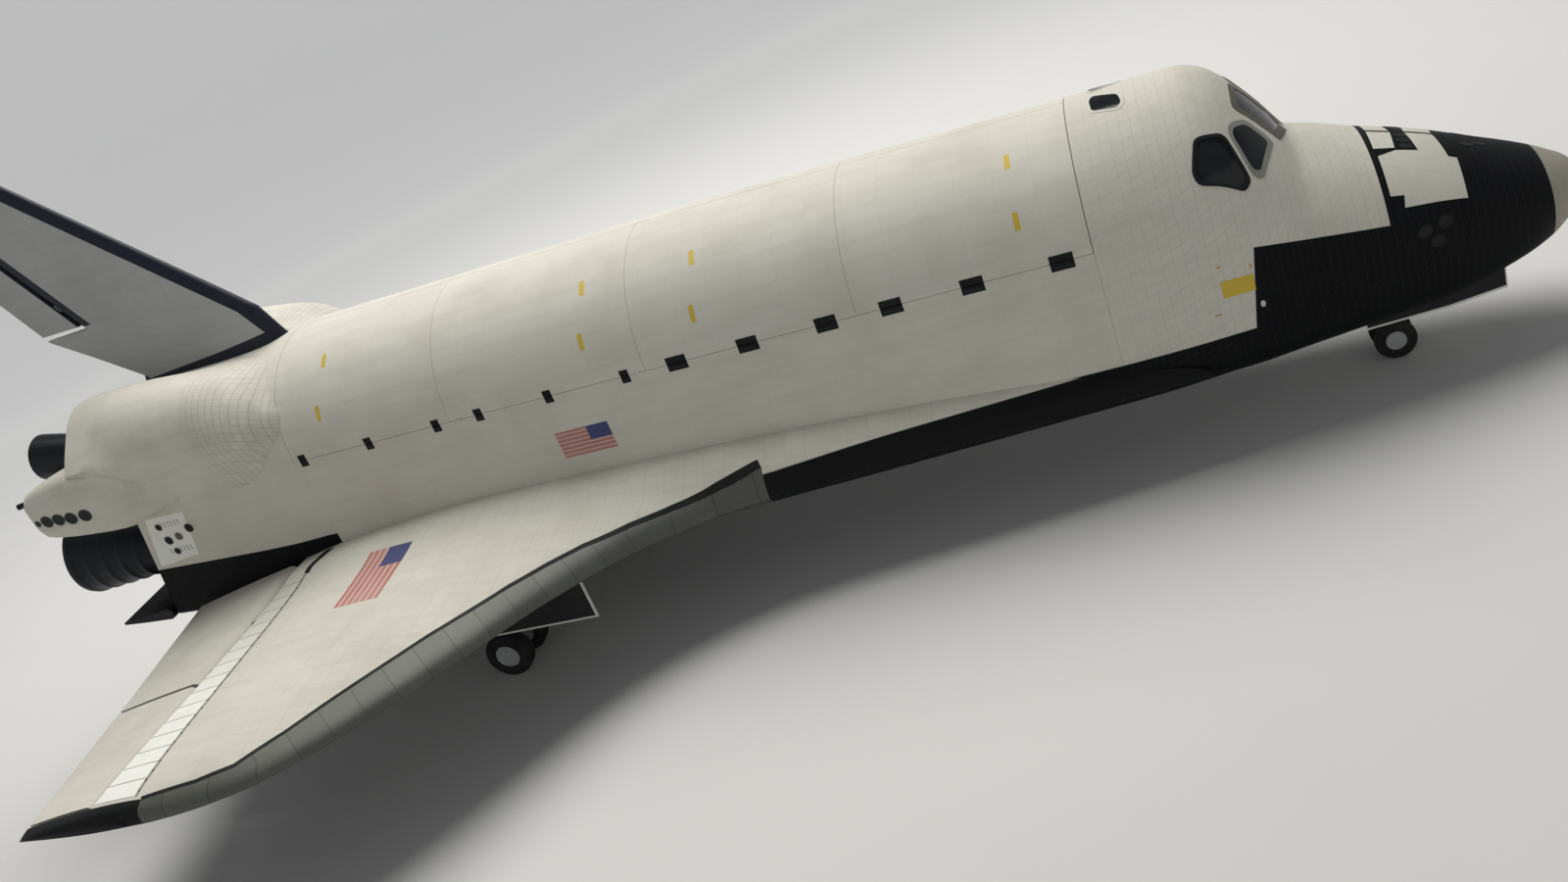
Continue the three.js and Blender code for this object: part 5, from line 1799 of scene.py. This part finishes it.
def make_ports():
    """Thrusters on the side and rear of each housing."""
    # dark: the thruster ports are near-black discs and short rods, partly the nozzles' own dark and partly
    # painted shade of their hollows
    dark, ring, nozzle = painted("glass", 0.5), painted("carbon", 0.6), painted("nozzle", 0.4, 0.5)
    for word, sign in SIDES:
        surface = on_housing(sign)
        for k, (at, up, radius) in enumerate(POD_THRUSTERS):
            outline = disc_outline((at, up), (radius * 1.1, radius), 24)
            patch(f"port_{k}_{word}", outline, surface, "dark_metal", dark, 0.2, 3.0)
            rim = disc_outline((at, up), (radius * 1.1 + 0.8, radius + 0.8), 24)
            framed(f"port_rim_{k}_{word}", rim, outline, surface, "dark_metal", ring, 0.35, 1)
        for k, out in enumerate(REAR_PORT_OUTS):
            ends = [(at, sign * out, 436) for at in (1592, 1596.5)]
            rod(f"rear_port_{k}_{word}", *ends, 4.6, "dark_metal", dark, 24)
        ends = (1590, sign * 143, 449), (1599, sign * 145, 448)
        rod(f"vernier_{word}", *ends, 2.4, "dark_metal", nozzle, 20, 3.0)


# Load bay and landing gear


def bay_point(turn, deep):
    """Distance out and height at an angle round the bay, some depth inside its wall."""
    return (BAY_RADIUS - deep) * math.cos(turn), BAY_CENTRE + (BAY_RADIUS - deep) * math.sin(turn)


def make_bay():
    """Frames and rails that line the load bay, and tubes on the radiators."""
    count = sizes().bay_frames
    section = ((-1.5, -0.5), (1.5, -0.5), (1.5, 3.5), (-1.5, 3.5))
    for k in range(count):
        at = BAY_FRONT + 24 + (BAY_REAR - BAY_FRONT - 48) * k / (count - 1)
        turns = np.linspace(0.04, -math.pi - 0.04, 40)
        rings = [[(at + dx, *bay_point(turn, deep)) for dx, deep in section] for turn in turns]
        loft(f"bay_frame_{k}", rings, "white_tile", [painted("liner", 0.7)], sharp=30)
    for word, sign in SIDES:
        for k, turn in enumerate((-0.35, -0.95)):
            y, z = bay_point(turn, 3)
            ends = [(at, sign * y, z) for at in (BAY_FRONT + 14, BAY_REAR - 14)]
            rod(f"bay_rail_{k}_{word}", *ends, 1.6, "white_tile", painted("metal", 0.4, 0.7), 16)
        for k in range(10):
            turn, deep = 0.22 + 1.16 * k / 9, DOOR_THICK + 1.9
            ends = []
            for at in (BAY_FRONT + 26, BAY_REAR - 176):
                rise = smooth_row("body", at)[4] - SILL
                out, up = (DOOR_HALF - deep) * math.cos(turn), SILL + (rise - deep) * math.sin(turn)
                ends.append((at, sign * out, up))
            name, ride = f"radiator_tube_{k}_{word}", "payload_door_" + word
            rod(name, *ends, 0.5, "radiator_silver", painted("silver", 0.3, 0.8), 8, body=ride)


def axle_height(at, radius):
    ground = GROUND_LEVEL + (GROUND_STATION - at) * math.tan(PITCH)
    return ground + radius / math.cos(PITCH)


def make_tyre(name, wheel, out, body, replaced):
    """Tyre with three grooves round its tread."""
    at, radius, rim, width, _ = wheel
    half = width / 2
    side = [(0.80, rim - 0.3), (0.88, rim + 0.6), (0.99, rim + (radius - rim) * 0.35), (1, radius * 0.82)]
    side += [(0.95, radius * 0.91), (0.82, radius * 0.965), (0.64, radius * 0.99)]
    tread = [(0.50, 0), (0.46, 0.5), (0.42, 0.5), (0.38, 0), (0.10, 0), (0.06, 0.5), (0.02, 0.5)]
    profile = [(half * x, r) for x, r in side] + [(half * x, radius - deep) for x, deep in tread]
    profile += [(-x, r) for x, r in profile[::-1]]
    look = {"sharp": 50, "replaces": (replaced,), "capped": False}
    centre = (-at, out, axle_height(at, radius))
    lathe(name, centre, (0, 1, 0), profile, "tyre", tyre_rubber(), 56, body, **look)


def make_hub(name, wheel, out, outer, body):
    """Wheel rim with its dish, hub cap and ring of bolts on the outer side."""
    at, radius, rim, _, width = wheel
    rim, up = rim - 0.1, axle_height(at, radius)
    dish = [(0.0, 0.5), (0.0, rim * 0.30), (-1.2, rim * 0.36), (-2.6, rim * 0.5), (-2.6, rim * 0.78)]
    dish += [(-0.4, rim * 0.93), (0.4, rim * 0.97), (0.4, rim - 0.05)]
    dish += [(-width, rim - 0.05), (-width, rim * 0.5)]
    profile = [(x + 0.2, r) for x, r in dish]
    centre, metal = (-at, out + outer * width * 0.5, up), painted("metal", 0.35, 0.6)
    lathe(name, centre, (0, outer, 0), profile, "gear_metal", metal, 48, body, sharp=35, capped=False)
    bolts, face = 8, out + outer * (width * 0.5 - 2.6)
    for k in range(bolts):
        turn = 2 * math.pi * k / bolts
        x, z = at + rim * 0.64 * math.cos(turn), up + rim * 0.64 * math.sin(turn)
        ends = (x, face, z), (x, face + outer, z)
        rod(f"{name}_bolt_{k}", *ends, 0.6, "gear_metal", painted("metal", 0.3, 0.8), 6, body=body)


def make_link(name, points, out, radius, body="airframe"):
    """Two arms of a torque link through three points by station and height."""
    for k, (a, b) in enumerate(zip(points, points[1:])):
        ends = [(at, out, up) for at, up in (a, b)]
        rod(name.format(k), *ends, radius, "gear_metal", painted("metal", 0.35, 0.6), 12, body=body)


def make_gear():
    chrome, metal, hose = painted("silver", 0.15, 0.9), painted("metal", 0.35, 0.6), painted("rubber", 0.7)
    for word, sign in SIDES:
        make_tyre("nose_wheel_tyre_" + word, NOSE_WHEEL, sign * NOSE_OUT, "nose_wheels", "nose_tyre_" + word)
        make_hub("nose_hub_" + word, NOSE_WHEEL, sign * NOSE_OUT, sign, "nose_wheels")
        body = "main_wheels_" + word
        for where, out, way in MAIN_OUTS:
            end = f"{where}_{word}"
            make_tyre("main_wheel_" + end, MAIN_WHEEL, sign * out, body, "main_tyre_" + end)
            make_hub("main_hub_" + end, MAIN_WHEEL, sign * out, way * sign, body)
        at, out, up = MAIN_WHEEL[0], sign * MAIN_LEG, axle_height(*MAIN_WHEEL[:2])
        rod("main_piston_" + word, (at, out, up + 8), (at, out, up + 30), 4.2, "gear_metal", chrome)
        rod("main_collar_" + word, (at, out, up + 29), (at, out, up + 33), 7.0, "gear_metal", metal)
        link = (at - 7, up + 8), (at - 15, up + 22), (at - 7, up + 34)
        make_link("main_scissor_{}_" + word, link, out, 1.5)
        ends = (at + 8, out + 2, up + 6), (at + 7, out + 1, LEG_TOP)
        rod("main_hose_" + word, *ends, 0.6, "dark_metal", hose, 8)
        make_door_faces(word, sign)
    at, up, body = NOSE_WHEEL[0], axle_height(*NOSE_WHEEL[:2]), "nose_gear_steering"
    rod("nose_piston", (at, 0, up + 5), (at, 0, up + 20), 2.6, "gear_metal", chrome, 24, body=body)
    make_link("nose_scissor_{}", ((at - 3.4, up + 6), (at - 9, up + 16), (at - 4, up + 26)), 0, 1.1, body)


def make_door_faces(word, sign):
    """Dark tiled outside and pale ribbed inside of the open gear doors."""
    pale, ribs = painted("bright", 0.55), 4
    for name, outline, inner, outer in GEAR_DOORS:
        tiles, lining = f"{name}_door_tiles_{word}", f"{name}_door_lining_{word}"
        plate(tiles, outline, sign * outer, sign * (outer + 0.35), "dark_tile", black_tiles())
        plate(lining, outline, sign * (inner - 0.3), sign * inner, "white_tile", pale)
        heights = [z for _, z in outline]
        low, high = min(heights) + 9, min(max(heights), 282) - 7
        first, last = outline[0][0] + 6, outline[1][0] - 6
        for k in range(ribs):
            at = first + (last - first) * k / (ribs - 1)
            block = box((at - 1, sign * (inner - 2.0), low), (at + 1, sign * (inner - 0.3), high))
            soften(new_piece(f"{name}_door_rib_{k}_{word}", *block, "white_tile", [pale]), 0.3)


# Stage


def make_floor():
    """Pale bowl that the model stands in, with a soft glow away from its middle."""
    flat, wall, sides = sizes().floor * 0.25, sizes().floor / 2, 96
    profile = [(0.0, 0.0), (flat, 0.0)]
    for turn in np.linspace(0, math.pi / 2, 20)[1:]:
        profile.append((flat + (wall - flat) * math.sin(turn), (wall - flat) * (1 - math.cos(turn))))
    turns = np.linspace(0, 2 * math.pi, sides, endpoint=False)
    points = [(radius * math.cos(t), radius * math.sin(t), up) for radius, up in profile for t in turns]
    faces = []
    for low in range(0, (len(profile) - 1) * sides, sides):
        high = low + sides
        faces += [(low + k, high + k, high + (k + 1) % sides, low + (k + 1) % sides) for k in range(sides)]
    look = Finish("floor_paint", 0.9)
    grain = look.ramp(look.noise(look.place(), 2.0, 4.0), 0.3, 0.7, 0.0, 0.06)
    look.colour(look.mix(grain, colours().floor, (0.5, 0.5, 0.5)))
    far = look.add("ShaderNodeVectorMath", {0: look.place()}, operation="LENGTH").outputs["Value"]
    glow = look.ramp(far, 3.0, 14.0, 0.0, 0.34)
    light = look.add("ShaderNodeCombineColor", {0: glow, 1: glow, 2: glow}).outputs[0]
    look.feed(look.inputs["Emission Color"], light)
    look.inputs["Emission Strength"].default_value = 1.0
    mesh = bpy.data.meshes.new("floor")
    mesh.from_pydata(points, [], faces)
    mesh.polygons.foreach_set("use_smooth", [True] * len(mesh.polygons))
    mesh.materials.append(look.material)
    floor = bpy.data.objects.new("floor", mesh)
    bpy.context.scene.collection.objects.link(floor)


def area_light(name, where, target, width, power, tint):
    data = bpy.data.lights.new(name, "AREA")
    data.shape = "DISK"
    data.size, data.energy, data.color = width, power, tint
    light = bpy.data.objects.new(name, data)
    bpy.context.scene.collection.objects.link(light)
    light.location = where
    light.rotation_euler = (Vector(target) - Vector(where)).to_track_quat("-Z", "Y").to_euler()


def make_light():
    world = bpy.data.worlds.new("studio")
    world.use_nodes = True
    sky = world.node_tree.nodes["Background"].inputs
    sky["Color"].default_value = (0.92, 0.95, 1.0, 1.0)
    sky["Strength"].default_value = 0.14
    bpy.context.scene.world = world
    for light in LIGHTS:
        area_light(*light)
    bpy.context.scene.view_settings.view_transform = "Standard"


def pitched(way):
    """Way in the model's own level frame, turned with its pitch."""
    x, y, z = way
    ahead = x * math.cos(PITCH) + z * math.sin(PITCH)
    return Vector((ahead, y, z * math.cos(PITCH) - x * math.sin(PITCH))).normalized()


def make_camera():
    data = bpy.data.cameras.new("camera")
    data.lens, data.sensor_width = CAMERA_LENS, CAMERA_SENSOR
    data.sensor_fit = "HORIZONTAL"
    camera = bpy.data.objects.new("camera", data)
    bpy.context.scene.collection.objects.link(camera)
    view = pitched(CAMERA_VIEW)
    right = pitched(CAMERA_DOWN).cross(view).normalized()
    down = view.cross(right)
    where = place(CAMERA_PLACE)
    rows = [(right[k], -down[k], -view[k], where[k]) for k in range(3)]
    camera.matrix_world = Matrix((*rows, (0, 0, 0, 1)))
    bpy.context.scene.camera = camera


# Layout of the add-on


class SPACEPLANE_OT_stage(bpy.types.Operator):
    """Set the floor, the soft light and the camera"""

    bl_idname = "spaceplane.stage"
    bl_label = "Stage"

    def execute(self, context):
        make_floor()
        make_light()
        make_camera()
        return {"FINISHED"}


class SPACEPLANE_OT_finishes(bpy.types.Operator):
    """Give the carried-over parts their finishes"""

    bl_idname = "spaceplane.finishes"
    bl_label = "Finishes"

    def execute(self, context):
        metal_parts = ("gear_leg", "hubs", "steering", "attach", "rudder_core")
        looks = dict.fromkeys(metal_parts, painted("metal", 0.4, 0.7))
        looks["tyre"] = painted("rubber", 0.85)
        looks["gear_door"] = painted("bright", 0.6)
        looks["windshield"] = painted("glass", 0.1, 0.0, 0.5, 0.0)
        for name, obj in frame["nodes"].items():
            for word, material in looks.items():
                if word in name:
                    obj.data.materials.clear()
                    obj.data.materials.append(material)
        return {"FINISHED"}


class SPACEPLANE_OT_body(bpy.types.Operator):
    """Skin the nose, cabin, load bay and aft body"""

    bl_idname = "spaceplane.body"
    bl_label = "Body"

    def execute(self, context):
        make_nose()
        make_middle()
        make_aft()
        return {"FINISHED"}


class SPACEPLANE_OT_doors(bpy.types.Operator):
    """Make the load bay doors with their radiators"""

    bl_idname = "spaceplane.doors"
    bl_label = "Bay doors"

    def execute(self, context):
        make_doors()
        return {"FINISHED"}


class SPACEPLANE_OT_wings(bpy.types.Operator):
    """Make the wings, their grey leading edges and the elevons"""

    bl_idname = "spaceplane.wings"
    bl_label = "Wings"

    def execute(self, context):
        make_wings()
        return {"FINISHED"}


class SPACEPLANE_OT_fin(bpy.types.Operator):
    """Make the fin, its split rudder and the body flap"""

    bl_idname = "spaceplane.fin"
    bl_label = "Fin and flap"

    def execute(self, context):
        make_fin()
        make_flap()
        return {"FINISHED"}


class SPACEPLANE_OT_engines(bpy.types.Operator):
    """Make the pods, nozzles and heat shield of the tail"""

    bl_idname = "spaceplane.engines"
    bl_label = "Engines"

    def execute(self, context):
        make_pods()
        make_engines()
        return {"FINISHED"}


class SPACEPLANE_OT_fittings(bpy.types.Operator):
    """Set the windows, the marks on the skin and the thruster ports"""

    bl_idname = "spaceplane.fittings"
    bl_label = "Windows and marks"

    def execute(self, context):
        make_windows()
        make_marks()
        make_vents()
        make_service_plate()
        make_hatch()
        make_flags()
        make_ports()
        return {"FINISHED"}


class SPACEPLANE_OT_gear(bpy.types.Operator):
    """Line the load bay and build the wheels, legs and gear doors"""

    bl_idname = "spaceplane.gear"
    bl_label = "Bay and gear"

    def execute(self, context):
        make_bay()
        make_gear()
        return {"FINISHED"}


STEPS = (
    SPACEPLANE_OT_stage,
    SPACEPLANE_OT_finishes,
    SPACEPLANE_OT_body,
    SPACEPLANE_OT_doors,
    SPACEPLANE_OT_wings,
    SPACEPLANE_OT_fin,
    SPACEPLANE_OT_engines,
    SPACEPLANE_OT_fittings,
    SPACEPLANE_OT_gear,
)


class SPACEPLANE_PT_panel(bpy.types.Panel):
    """Steps that dress the model"""

    bl_idname = "SPACEPLANE_PT_panel"
    bl_label = "Spaceplane"
    bl_space_type = "VIEW_3D"
    bl_region_type = "UI"
    bl_category = "Spaceplane"

    def draw(self, context):
        for step in STEPS:
            self.layout.operator(step.bl_idname)
        for group in (context.scene.spaceplane_sizes, context.scene.spaceplane_colours):
            for key in group.bl_rna.properties.keys():
                if key not in ("rna_type", "name"):
                    self.layout.prop(group, key)


CLASSES = (OrbiterSizes, OrbiterColours, *STEPS, SPACEPLANE_PT_panel)


def register():
    for cls in CLASSES:
        bpy.utils.register_class(cls)
    bpy.types.Scene.spaceplane_sizes = bpy.props.PointerProperty(type=OrbiterSizes)
    bpy.types.Scene.spaceplane_colours = bpy.props.PointerProperty(type=OrbiterColours)


def unregister():
    del bpy.types.Scene.spaceplane_colours
    del bpy.types.Scene.spaceplane_sizes
    for cls in reversed(CLASSES):
        bpy.utils.unregister_class(cls)


def main():
    register()
    ops = bpy.ops.spaceplane
    ops.stage()
    ops.finishes()
    ops.body()
    ops.doors()
    ops.wings()
    ops.fin()
    ops.engines()
    ops.fittings()
    ops.gear()
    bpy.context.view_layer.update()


if __name__ == "__main__":
    main()
